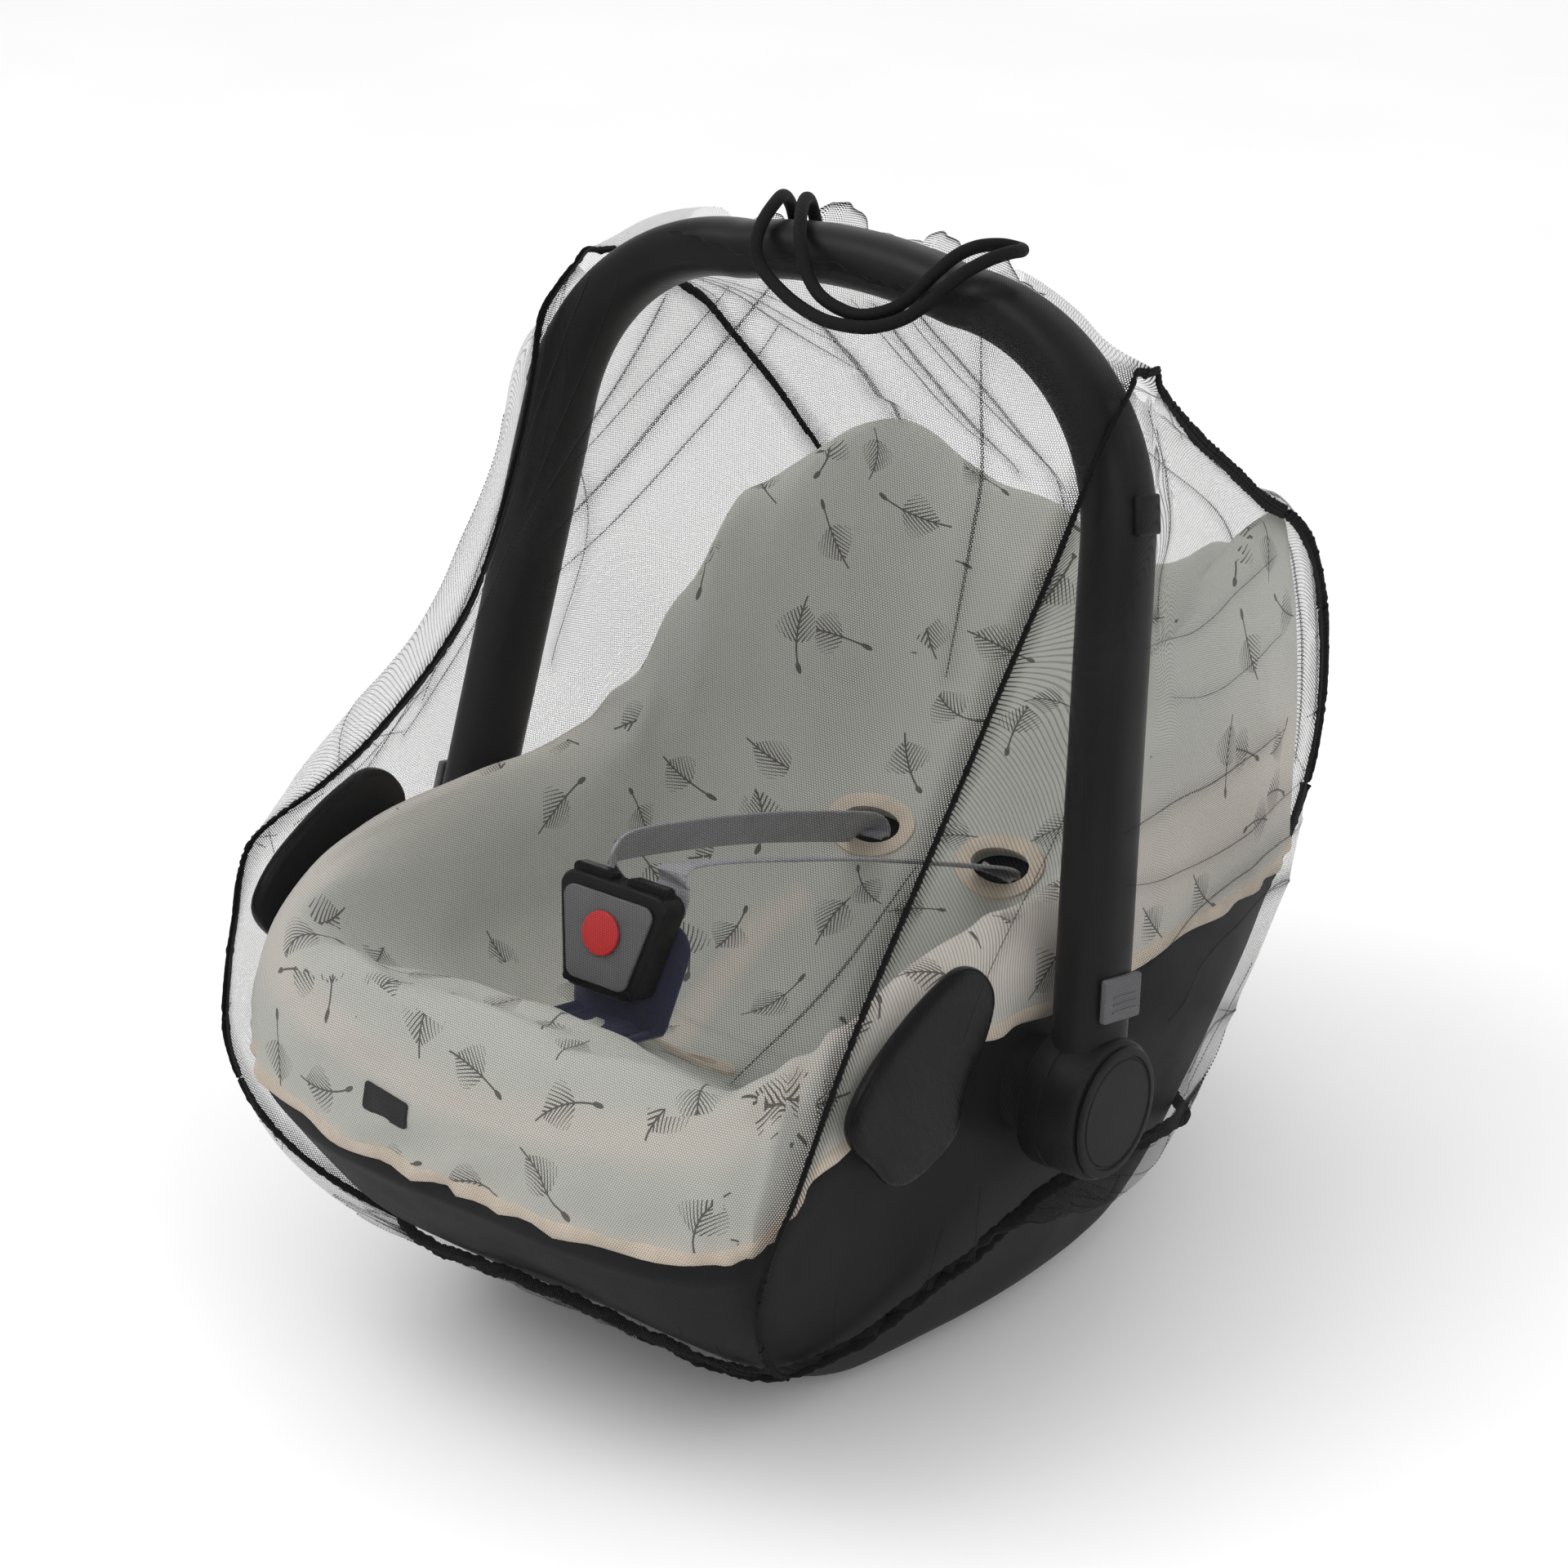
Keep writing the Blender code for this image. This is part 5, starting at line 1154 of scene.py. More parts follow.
def stitchRow(name, line, spacing, length, thick, material):
    mesh = bpy.data.meshes.new(name)
    mesh.from_pydata(np.asarray(line).tolist(), [(n, n + 1) for n in range(len(line) - 1)], [])
    ob = bpy.data.objects.new(name, mesh)
    scene.collection.objects.link(ob)
    row = ob.modifiers.new("stitches", "NODES")
    row.node_group = stitches
    wanted = {"Spacing": spacing, "Length": length, "Thickness": thick, "Thread": material}
    for item in stitches.interface.items_tree:
        if item.in_out == "INPUT" and item.name in wanted:
            row[item.identifier] = wanted[item.name]
    ob = settle(ob)
    ob.data.shade_smooth()
    return ob


# Buckle, its pad and the harness straps
def buckleFrame():
    lean = harness["buckleLean"]
    return (np.array(harness["buckleFoot"]), np.array([0, math.sin(lean), math.cos(lean)]),
            np.array([0, -math.cos(lean), math.sin(lean)]))


def rounded(halfTop, halfLow, low, high, corner=0.008, count=8):
    outline = []
    for x, y, quarter in [(halfTop, high, 0), (-halfTop, high, 1), (-halfLow, low, 2), (halfLow, low, 3)]:
        cx = x - math.copysign(corner, x)
        cy = y - corner if y == high else y + corner
        for k in range(count + 1):
            a = math.pi / 2 * (quarter + k / count)
            outline.append((cx + corner * math.cos(a), cy + corner * math.sin(a)))
    return outline


def plate(name, outline, low, high, material, bevel, dome=0.0):
    foot, up, face = buckleFrame()
    outline = np.array(outline)
    middle = outline.mean(axis=0)
    count = len(outline)
    quarter = [math.pi / 2 * k / 4 for k in range(5)]
    rings = [(low + bevel * (1 - math.sin(a)), bevel * (1 - math.cos(a))) for a in quarter][::-1]   # round edges
    rings += [(high - bevel * (1 - math.sin(a)), bevel * (1 - math.cos(a))) for a in quarter]
    reach = np.linalg.norm(outline - middle, axis=1)
    verts = []
    for height, inset in rings:
        ring = middle + (outline - middle) * (1 - inset / reach)[:, None]
        verts += [foot + np.array([x, 0, 0]) + up * y + face * height for x, y in ring]
    total = len(rings)
    faces = [tuple(f) for f in quadFaces(total, count, ring=True)]
    last = (total - 1) * count
    for t, rise in ((0.66, 0.6), (0.33, 0.9)):   # crown of the face
        ring = middle + (outline - middle) * t
        verts += [foot + np.array([x, 0, 0]) + up * y + face * (high + dome * rise) for x, y in ring]
        start = len(verts) - count
        faces += [(last + k, last + (k + 1) % count, start + (k + 1) % count, start + k) for k in range(count)]
        last = start
    verts.append(foot + np.array([middle[0], 0, 0]) + up * middle[1] + face * (high + dome))
    faces += [(last + k, last + (k + 1) % count, len(verts) - 1) for k in range(count)]
    faces.append(tuple(range(count))[::-1])
    run = np.array([np.dot(v - foot, up) for v in verts])
    uv = np.column_stack([np.array(verts)[:, 0], run])
    return outward(addMesh(name, verts, faces, material, uv, sharp=35))


def circle(radius, count, centre=(0.0, 0.0)):
    turn = 2 * math.pi / count
    return [(centre[0] + radius * math.cos(k * turn), centre[1] + radius * math.sin(k * turn)) for k in range(count)]


def bucklePieces():
    wide, tall, thick = harness["buckleSize"]
    bar = rounded(0.0215, 0.0215, 0.002, 0.0065, 0.002, 4)
    body = [plate("body", rounded(wide / 2, wide * 0.36, 0.0, tall), 0.0, thick, finish["handle"], 0.0022),
            plate("bar", bar, thick - 0.002, thick + 0.0012, finish["glossy"], 0.0006)]
    for side in (1, -1):                    # the two tongues that go in from above
        outline = [(x + side * 0.017, y) for x, y in rounded(0.0125, 0.0115, tall - 0.01, tall + 0.004, 0.003, 5)]
        body.append(plate("tongue", outline, 0.006, 0.014, finish["glossy"], 0.0012))
    ride(joined("buckle_housing", body), "handle", "buckle_body")
    face = thick + 0.0003
    shield = plate("buckle_shield", rounded(0.0275, 0.0195, 0.005, 0.05, 0.006, 6), face, face + 0.0025,
                   finish["grey"], 0.0009)
    ride(shield, "grey", "buckle_plate")
    top = face + 0.0028
    button = circle(0.0112, 48, (0.0, 0.031))
    button = plate("release_button", button, top, top + 0.0022, finish["red"], 0.0009, 0.0008)
    ride(button, "red", "buckle_button")


def crotchPad():
    foot, up, face = buckleFrame()
    outline = np.array(rounded(0.036, 0.03, -0.023, 0.04, 0.014, 10))
    middle = outline.mean(axis=0)
    steps = 14
    verts, uv = [], []
    for k in range(steps + 1):
        a = math.pi * k / steps - math.pi / 2       # from the back's middle over the edge to the front's middle
        size, height = math.cos(a) ** 0.45, math.sin(a)
        for x, y in middle + (outline - middle) * max(size, 0.02):
            tuck = 1 + 0.05 * math.sin(9 * math.atan2(y - middle[1], x - middle[0]))
            lift = -0.0052 + 0.0048 * height * tuck
            p = foot + np.array([x, 0, 0]) + up * y + face * lift
            if height < 0.6:
                floor = onto(p, face, 0.0006)
                if (p - floor) @ face < 0:
                    p = floor
            verts.append(p)
            uv.append((x, y))
    pad = outward(addMesh("buckle_pad", verts, tubeFaces(steps + 1, len(outline)), finish["navy"], uv, sharp=180))
    ride(pad, "navy", "crotch_pad")


def strapPiece(side, tag):
    foot, up, face = buckleFrame()
    along, away = seatAxes(harness["slot"][1])
    slot = np.array(harness["slot"]) * (side, 1, 1) - along * harness["strapSeat"]
    aside = np.array([side * 0.019, 0.0, 0.0])
    start, lip = slot - away * 0.003, slot + away * 0.004
    top = foot + aside + up * 0.068 - face * 0.014
    bend = foot + aside + up * 0.058 - face * 0.005
    end = foot + aside + up * 0.045 - face * (harness["strapThick"] / 2 + 0.0006)
    middle = (lip + top) / 2 + np.array([0, 0, 0.004])
    line = curveThrough([start, lip, middle, top, bend, end], shares(120))
    way = unit(np.gradient(line, axis=0))
    across = unit(np.array([1.0, 0, 0]) - way * way[:, :1])
    turn = unit(np.cross(way, across))
    place = np.linspace(0, 1, len(line))[:, None]
    ease = limit((place - 0.06) / 0.16) * limit((0.9 - place) / 0.12)
    angle = math.radians(harness["twist"][tag]) * ease * ease * (3 - 2 * ease)
    across, turn = across * np.cos(angle) + turn * np.sin(angle), turn * np.cos(angle) - across * np.sin(angle)
    wide, thick = harness["strapWidth"] / 2, harness["strapThick"] / 2
    # section: flat webbing with thicker, rounded selvedges
    section = [(-1, 0), (-0.98, 0.8), (-0.9, 1.1), (-0.82, 0.85), (-0.4, 0.8), (0, 0.8), (0.4, 0.8), (0.82, 0.85),
               (0.9, 1.1), (0.98, 0.8), (1, 0), (0.98, -0.8), (0.9, -1.1), (0.82, -0.85), (0, -0.8), (-0.82, -0.85),
               (-0.9, -1.1), (-0.98, -0.8)]
    verts, uv = [], []
    for p, a, n, r in zip(line, across, turn, runAlong(line)):
        sag = 0.0008 * math.sin(r * 55 + side)
        for s, h in section:
            verts.append(p + a * s * wide + n * (h * thick + sag * (1 - abs(s))))
            uv.append((s * wide, r))
    strap = outward(addMesh("strap", verts, tubeFaces(len(line), len(section)), finish["webbing"], uv, sharp=60))
    sewn = []
    for first, last in ((0.885, 0.94), (0.9, 0.955)):    # zigzag of thick thread
        zigzag = []
        for n, share in enumerate(np.linspace(-0.86, 0.86, 17)):
            k = int((first if n % 2 else last) * (len(line) - 1))
            zigzag.append(line[k] + across[k] * share * wide - turn[k] * math.copysign(thick + 0.0005, turn[k][1]))
        sewn.append(stitchRow("sewing", zigzag, **stitch["white"]))
    return ride(joined(f"webbing_{tag}", [strap] + sewn), "webbing", f"harness_strap_{tag}")


bucklePieces()
crotchPad()
for side, tag in bothSides:
    strapPiece(side, tag)
print("stage: harness")


# Bare label on the apron
label = {
    "centre": (-0.046, -0.226, 0.178), "halfWide": 0.015, "halfTall": 0.007, "corner": 0.0022,
    "tilt": math.radians(-6),
    # height over the cover and share of the size: up the edge, then over the face
    "layers": [(0.0003, 1.0), (0.0009, 1.0), (0.0013, 0.965), (0.0013, 0.93), (0.0011, 0.9), (0.0012, 0.5),
               (0.0012, 0.05)],
}


def labelPiece():
    verts, uv = [], []
    away = np.array([0.0, -1.0, 0.0])
    wide, tall, tilt = label["halfWide"], label["halfTall"], label["tilt"]
    outline = np.array(rounded(wide, wide, -tall, tall, label["corner"], 6))
    for lift, size in label["layers"]:
        for x, z in outline * size:
            across = x * math.cos(tilt) - z * math.sin(tilt)
            up = x * math.sin(tilt) + z * math.cos(tilt)
            verts.append(onto(np.array(label["centre"]) + (across, 0, up), away, lift))
            uv.append((x, z))
    faces = tubeFaces(len(label["layers"]), len(outline))
    return ride(outward(addMesh("bare_label", verts, faces, finish["label"], uv, sharp=60)), "label", "label")


labelPiece()
print("stage: label")


# Net: rows of the table run from the hem at the foot end over the handle to the hem at the head end
net = {
    "rows": 18, "halfColumns": 8, "sideColumns": 10, "slotHalf": 0.092, "drapeTurns": 4,
    "clothThick": 0.0003, "fineRows": 8, "fineColumns": 8,
    "cornerFront": (0.1685, 0.074, 0.501), "cornerTop": (0.169, 0.088, 0.506),
    "cornerBack": (0.1665, 0.103, 0.495),
    "front": [
        # middle y, z, right seam x, y, z, left seam x, y, z, squareness
        (-0.15, 0.066, 0.126, -0.132, 0.05, -0.122, -0.14, 0.058, 3),
        (-0.192, 0.082, 0.143, -0.17, 0.076, -0.142, -0.172, 0.082, 4),
        (-0.226, 0.112, 0.158, -0.2, 0.118, -0.16, -0.196, 0.116, 4),
        (-0.236, 0.152, 0.173, -0.21, 0.162, -0.175, -0.205, 0.155, 4),
        (-0.234, 0.2, 0.185, -0.205, 0.2, -0.186, -0.19, 0.192, 4),
        (-0.213, 0.245, 0.19, -0.19, 0.238, -0.19, -0.162, 0.228, 3.5),
        (-0.183, 0.276, 0.188, -0.163, 0.27, -0.186, -0.124, 0.262, 2.5),
        (-0.15, 0.31, 0.183, -0.13, 0.298, -0.181, -0.089, 0.284, 2),
        (-0.115, 0.346, 0.178, -0.096, 0.326, -0.178, -0.05, 0.308, 2),
        (-0.085, 0.377, 0.174, -0.066, 0.351, -0.175, -0.02, 0.334, 2),
        (-0.05, 0.411, 0.171, -0.028, 0.39, -0.173, 0.002, 0.368, 2),
        (-0.015, 0.446, 0.169, 0.006, 0.424, -0.171, 0.022, 0.412, 2),
        (0.022, 0.484, 0.168, 0.038, 0.461, -0.169, 0.046, 0.458, 2),
    ],
    "back": [
        (0.15, 0.5, 0.158, 0.15, 0.457, -0.163, 0.155, 0.471, 2),
        (0.2, 0.458, 0.151, 0.195, 0.427, -0.162, 0.194, 0.433, 2),
        (0.255, 0.412, 0.143, 0.243, 0.394, -0.161, 0.232, 0.392, 2),
        (0.315, 0.366, 0.135, 0.292, 0.362, -0.159, 0.266, 0.348, 2),
        (0.356, 0.328, 0.129, 0.33, 0.326, -0.153, 0.3, 0.302, 3),
        (0.375, 0.27, 0.119, 0.362, 0.268, -0.138, 0.338, 0.255, 3.5),
        (0.379, 0.205, 0.112, 0.372, 0.205, -0.12, 0.364, 0.205, 4),
        (0.374, 0.155, 0.108, 0.356, 0.155, -0.108, 0.356, 0.155, 4),
        (0.352, 0.112, 0.104, 0.318, 0.11, -0.104, 0.318, 0.11, 4),
        (0.318, 0.08, 0.099, 0.276, 0.076, -0.099, 0.276, 0.076, 4),
        (0.272, 0.056, 0.093, 0.236, 0.05, -0.093, 0.236, 0.05, 3),
    ],
    "side": [
        # share, ahead x, y, z, over x, y, z, behind x, y, z
        (0.0, 0.169, 0.083, 0.493, 0.17, 0.089, 0.496, 0.169, 0.095, 0.49),
        (0.12, 0.183, 0.052, 0.456, 0.189, 0.074, 0.456, 0.183, 0.101, 0.452),
        (0.28, 0.193, 0.016, 0.385, 0.2, 0.054, 0.397, 0.186, 0.112, 0.394),
        (0.45, 0.202, -0.03, 0.32, 0.2085, 0.039, 0.333, 0.192, 0.13, 0.333),
        (0.6, 0.213, -0.082, 0.276, 0.218, 0.022, 0.262, 0.196, 0.136, 0.268),
        (0.75, 0.212, -0.102, 0.215, 0.229, 0.008, 0.2, 0.194, 0.142, 0.198),
        (0.87, 0.198, -0.095, 0.156, 0.23, 0.0, 0.145, 0.188, 0.142, 0.145),
        (0.94, 0.186, -0.078, 0.116, 0.22, 0.0, 0.119, 0.181, 0.138, 0.108),
        (1.0, 0.17, -0.056, 0.086, 0.186, 0.001, 0.112, 0.168, 0.124, 0.084),
    ],
    # thin pleats and soft creases: places across (-1 to 1, on a side 0 to 1) and along in rows, width in mm
    "creases": {
        "middle": [
            ([(-0.16, 17.6), (-0.3, 16.1), (-0.41, 14.6), (-0.58, 13.1)], 2.4),
            ([(-0.52, 17.2), (-0.58, 15.9), (-0.64, 14.7), (-0.72, 13.2)], 2.6),
            ([(-0.08, 17.1), (-0.19, 15.4), (-0.33, 13.8), (-0.52, 12.4)], 1.5),
            ([(-0.3, 17.5), (-0.42, 16.2), (-0.55, 14.9), (-0.7, 13.9)], 1.3),
            ([(-0.86, 17.6), (-0.93, 15.0), (-0.96, 12.0), (-0.84, 8.7)], 3.0),
            ([(-0.74, 17.4), (-0.78, 14.2), (-0.75, 12.0), (-0.78, 9.6)], 2.0),
            ([(-0.9, 17.0), (-0.9, 13.5), (-0.86, 11.0), (-0.93, 7.5)], 1.6),
            ([(0.98, 10.4), (0.89, 8.2), (0.76, 6.6)], 1.5),
            ([(0.6, 17.6), (0.72, 15.6), (0.85, 13.0)], 1.8),
            ([(-0.65, 24.6), (-0.66, 26.9), (-0.77, 29.8)], 4.5),
            ([(-0.37, 24.6), (-0.41, 27.2), (-0.45, 29.0), (-0.5, 30.9)], 3.2),
            ([(-0.43, 24.4), (-0.46, 27.4), (-0.5, 29.9)], 1.6),
            ([(-0.24, 24.6), (-0.24, 27.2), (-0.32, 29.8), (-0.38, 31.6)], 3.0),
            ([(-0.28, 24.5), (-0.3, 28.1), (-0.35, 31.2)], 1.5),
            ([(0.1, 24.6), (0.22, 28.0), (0.42, 31.0), (0.6, 33.5)], 2.2),
            ([(0.84, 25.0), (0.9, 28.5), (0.93, 31.6), (0.96, 34.2)], 4.0),
            ([(0.7, 25.5), (0.77, 30.4), (0.84, 33.0), (0.88, 35.0)], 2.4),
        ],
        "right": [
            ([(0.37, 17.7), (0.46, 16.5), (0.45, 15.2), (0.5, 13.0)], 3.2),
            ([(0.44, 8.9), (0.6, 8.8), (0.74, 8.3), (0.88, 7.2)], 2.2),
            ([(0.46, 7.9), (0.62, 7.3), (0.76, 6.6), (0.93, 5.6)], 1.8),
            ([(0.5, 6.2), (0.66, 6.2), (0.8, 5.6), (0.95, 4.7)], 2.6),
            ([(0.54, 4.8), (0.68, 4.9), (0.84, 4.6), (0.97, 3.4)], 3.4),
            ([(0.45, 12.6), (0.66, 12.2), (0.83, 11.6), (0.94, 10.7)], 1.3),
            ([(0.58, 11.0), (0.72, 10.3), (0.9, 9.0)], 1.1),
            ([(0.6, 3.2), (0.75, 2.6), (0.95, 1.6)], 3.5),
            ([(0.3, 12.0), (0.24, 9.0), (0.2, 6.0)], 1.6),
        ],
        "left": [
            ([(0.51, 13.1), (0.46, 10.1), (0.43, 7.4)], 2.2),
            ([(0.62, 15.6), (0.7, 11.0), (0.66, 7.0)], 2.0),
            ([(0.25, 14.5), (0.22, 10.0), (0.3, 6.0)], 1.8),
        ],
    },
    # short pleats: how many, reach, lean and width, each as its least and what a draw adds at most
    "seed": 5,
    "hemPleats": {"count": 130, "reach": (0.7, 2.0), "lean": 0.07, "wide": (0.8, 1.3)},
    "seamPleats": {"count": 44, "head": (24.5, 13), "foot": (2, 15), "reach": (0.05, 0.22), "lean": 1.2,
                   "wide": (0.6, 0.9)},
    "cornerPleats": {"count": 14, "front": 0.55, "rows": (17.6, 22.6), "reach": (1.2, 3.6), "turn": 0.42,
                     "wide": (0.8, 1.4)},
    # small waves, gathers at the hem, and what a pleat lifts and darkens round it
    "wave": 0.0011, "waveScale": 26, "hemReach": 0.035, "gather": 0.0022, "broadGather": 0.0012,
    "pleatLift": 0.3, "pleatShade": 0.26, "pleatReach": 0.03, "seamReach": 0.012, "seamShade": 0.5, "hemShade": 0.22,
    # panel, start across and along, end across and along, height, half width, in the panel's own shares
    "folds": [
        ("front", -0.3, 0.98, -0.96, 0.55, 0.006, 0.1),
        ("front", -0.75, 0.98, -0.98, 0.72, 0.005, 0.08),
        ("front", 0.4, 0.95, 0.9, 0.35, 0.004, 0.1),
        ("back", -0.45, 0.95, 0.45, 0.6, 0.006, 0.09),
        ("back", 0.2, 0.96, 0.8, 0.66, 0.006, 0.09),
        ("side", 0.7, 0.55, 0.85, 0.05, 0.006, 0.09),
        ("side", 0.52, 0.4, 0.62, 0.02, 0.005, 0.07),
    ],
}
probe = Vector((0.0173, 0.0291, 1.0)).normalized()    # nearly upright, so that it runs along no wall


def netRow(row):
    middle, square = np.array([0.0, row[0], row[1]]), row[8]
    out = []
    for seam in (np.array(row[5:8]), np.array(row[2:5])):
        half = []
        for share in (0.0, 0.3, 0.6, 0.85, 1.0):
            across = share ** square
            half.append(np.array([seam[0] * share, middle[1] + (seam[1] - middle[1]) * across,
                                  middle[2] + (seam[2] - middle[2]) * across]))
        out.append(half)
    return out[0][:0:-1] + out[1]


def ridgeRow(lift, depth, corner, slotLift):  # across the net where it passes over the handle
    out = []
    for side in (-1, 1):
        half = []
        for share in (0.0, 0.3, 0.6, 0.85):
            up = slotLift if share < 0.45 else lift
            half.append(archPoint(share * 0.16, up, depth) * (side, 1, 1))
        half.append(np.array(corner) * (side, 1, 1))
        out.append(half)
    return out[0][:0:-1] + out[1]


def middleGrid():
    over = handle["thick"] / 2 + 0.0036
    before = handle["deepGrip"] / 2 + 0.0042
    front = [netRow(r) for r in net["front"]] + [ridgeRow(0.006, -before, net["cornerFront"], -0.006)]
    top = np.array(ridgeRow(over, 0.0, net["cornerTop"], over))
    back = [ridgeRow(0.006, before, net["cornerBack"], 0.008)] + [netRow(r) for r in net["back"]]
    front = curveThrough(np.array(front), evenShares(np.array(front)[:, 4], net["rows"]))
    back = curveThrough(np.array(back), evenShares(np.array(back)[:, 4], net["rows"]))
    between = [(front[-1] + top) / 2, (top + back[0]) / 2]
    for n, push in zip((0, 1), (-1, 1)):
        lean = np.array([0, push * math.cos(handle["lean"]), -push * math.sin(handle["lean"])])
        between[n] = between[n] + lean * 0.003 + np.array([0, 0, 0.0045])
    rows = np.concatenate([front, [between[0]], [top], [between[1]], back])
    across = shares(2 * net["halfColumns"]) * 2 - 1
    places = np.interp(across, [-1, -0.85, -0.6, -0.3, 0, 0.3, 0.6, 0.85, 1], shares(8))
    return np.array([curveThrough(row, places) for row in rows])


def triFaces(rows, columns):
    q = quadFaces(rows, columns)
    return np.concatenate([q[:, [0, 1, 2]], q[:, [0, 2, 3]]])


def tooNear(place, trees):
    for tree, gap in trees:
        near, normal, face, far = tree.find_nearest(place, 0.04)
        if near is None:
            continue
        if far < gap:
            return True
        crossed, start = 0, place
        hit = tree.ray_cast(start, probe)[0]
        while hit is not None and crossed < 60:
            crossed += 1
            start = hit + probe * 1e-6
            hit = tree.ray_cast(start, probe)[0]
        if crossed % 2:
            return True
    return False


def outwardShift(place, away, trees):
    for step in range(40):
        shift = away * step * 0.0005
        if not tooNear(Vector(place + shift), trees):
            return shift
    return away * 0.0


def spread(shift):  # the cloth round a place that was moved follows it
    padded = np.pad(shift, ((1, 1), (1, 1), (0, 0)), mode="edge")
    near = (padded[:-2, 1:-1] + padded[2:, 1:-1] + padded[1:-1, :-2] + padded[1:-1, 2:]) / 4
    grows = np.linalg.norm(near, axis=2, keepdims=True) > np.linalg.norm(shift, axis=2, keepdims=True)
    return np.where(grows, (shift + near) / 2, shift)


def drawOver(grid, trees, sign):  # moves the cloth out until it clears the carrier
    rows, columns = grid.shape[:2]
    pairs = [((r, c), (r + 1, c)) for r in range(rows - 1) for c in range(columns)]
    pairs += [((r, c), (r, c + 1)) for r in range(rows) for c in range(columns - 1)]
    pairs += [((r, c), (r + 1, c + 1)) for r in range(rows - 1) for c in range(columns - 1)]
    normal = pointNormals(grid.reshape(-1, 3), triFaces(rows, columns)).reshape(grid.shape) * sign
    start = grid.copy()
    for r in range(rows):
        for c in range(columns):
            grid[r, c] += outwardShift(grid[r, c], normal[r, c], trees)
    for turn in range(net["drapeTurns"]):
        if turn:
            grid = start + spread(grid - start)
        for a, b in pairs:
            for share in (0.25, 0.5, 0.75):
                place = grid[a] * (1 - share) + grid[b] * share
                shift = outwardShift(place, unit(normal[a] + normal[b]), trees)
                grid[a] += shift
                grid[b] += shift
    return grid


def sideGrid(side, middle):
    seam = middle[:, -1] if side > 0 else middle[:, 0]
    front, back = seam[:net["rows"] + 1], seam[net["rows"] + 4:][::-1]
    table = np.array(net["side"])
    lines = [table[:, k:k + 3] * (side, 1, 1) for k in (1, 4, 7)]
    rows = []
    for r in range(net["rows"] + 1):
        place = np.interp(1 - r / net["rows"], table[:, 0], shares(len(table) - 1))
        across = [front[r]] + [curveThrough(line, [place])[0] for line in lines] + [back[r]]
        rows.append(curveThrough(np.array(across), shares(net["sideColumns"])))
    return np.array(rows)


def foldHeight(panel, across, along):
    total = np.zeros_like(across)
    for name, a0, b0, a1, b1, height, half in net["folds"]:
        if name != panel:
            continue
        way = np.array([a1 - a0, b1 - b0])
        t = limit(((across - a0) * way[0] + (along - b0) * way[1]) / (way @ way))
        off = np.hypot(across - a0 - t * way[0], along - b0 - t * way[1])
        total += height * np.sin(np.pi * np.clip(t, 0.04, 0.96)) ** 0.5 * np.exp(-(off / half) ** 2)
    return total


def gridNormals(grid):
    return unit(np.cross(np.gradient(grid, axis=1), np.gradient(grid, axis=0)))


def ripple(grid, scale, seed):  # small uneven waves of limp cloth
    shift = Vector((seed, 0, 0))
    flat = [noise.noise(Vector(p) * scale + shift) for p in grid.reshape(-1, 3)]
    return np.array(flat).reshape(grid.shape[:2])


def gridAt(grid, across, row, side=False):  # place on a fine panel from its share across and its coarse row
    columns = (np.asarray(across, float) if side else (np.asarray(across, float) + 1) / 2) * (grid.shape[1] - 1)
    rows = np.asarray(row, float) * net["fineRows"]
    c = np.clip(columns.astype(int), 0, grid.shape[1] - 2)
    r = np.clip(rows.astype(int), 0, grid.shape[0] - 2)
    s, t = limit(columns - c)[:, None], limit(rows - r)[:, None]
    return ((grid[r, c] * (1 - t) + grid[r + 1, c] * t) * (1 - s) + (grid[r, c + 1] * (1 - t) + grid[r + 1, c + 1] * t)
            * s)


def pleatPlan():  # the drawn creases, with short pleats gathered into the hem, the seams and the top corners
    plan = [(panel, *line) for panel, lines in net["creases"].items() for line in lines]
    draw = np.random.default_rng(net["seed"])
    steps = (0.0, 0.5, 1.0)
    hem, seam, corner = net["hemPleats"], net["seamPleats"], net["cornerPleats"]
    for k in range(hem["count"]):
        panel = ("middle", "middle", "middle", "right", "left")[k % 5]
        c, lean, tall, wide = draw.random(4)
        across = c * 2 - 1 if panel == "middle" else c
        first, way = (40, -1) if panel == "middle" and k % 2 else (0, 1)
        top = hem["reach"][0] + hem["reach"][1] * tall ** 2
        step = (lean - 0.5) * hem["lean"] * (2 if panel == "middle" else 1)
        low, high = (-0.99, 0.99) if panel == "middle" else (0.01, 0.99)
        places = [(float(np.clip(across + step * t, low, high)), first + way * top * t) for t in steps]
        plan.append((panel, places, hem["wide"][0] + hem["wide"][1] * wide))
    for k in range(seam["count"]):
        edge = 1 if k % 2 else -1
        row, reach, lean, wide = draw.random(4)
        first, length = seam["head"] if edge == 1 else seam["foot"]
        row = first + row * length
        inward = seam["reach"][0] + seam["reach"][1] * reach ** 2
        places = [(edge * (1 - t * inward), row + (lean - 0.3) * seam["lean"] * t) for t in steps]
        plan.append(("middle", places, seam["wide"][0] + seam["wide"][1] * wide))
    for k in range(corner["count"]):
        edge = 1 if k % 2 else -1
        turn, reach, wide, part = draw.random(4)
        front = part < corner["front"] and edge == -1
        start = (edge * 0.97, corner["rows"][0] if front else corner["rows"][1])
        along = (-1 if front else 1) * (corner["reach"][0] + corner["reach"][1] * reach)
        places = [(start[0] - edge * turn * corner["turn"] * t, start[1] + along * t) for t in steps]
        plan.append(("middle", places, corner["wide"][0] + corner["wide"][1] * wide))
    return plan


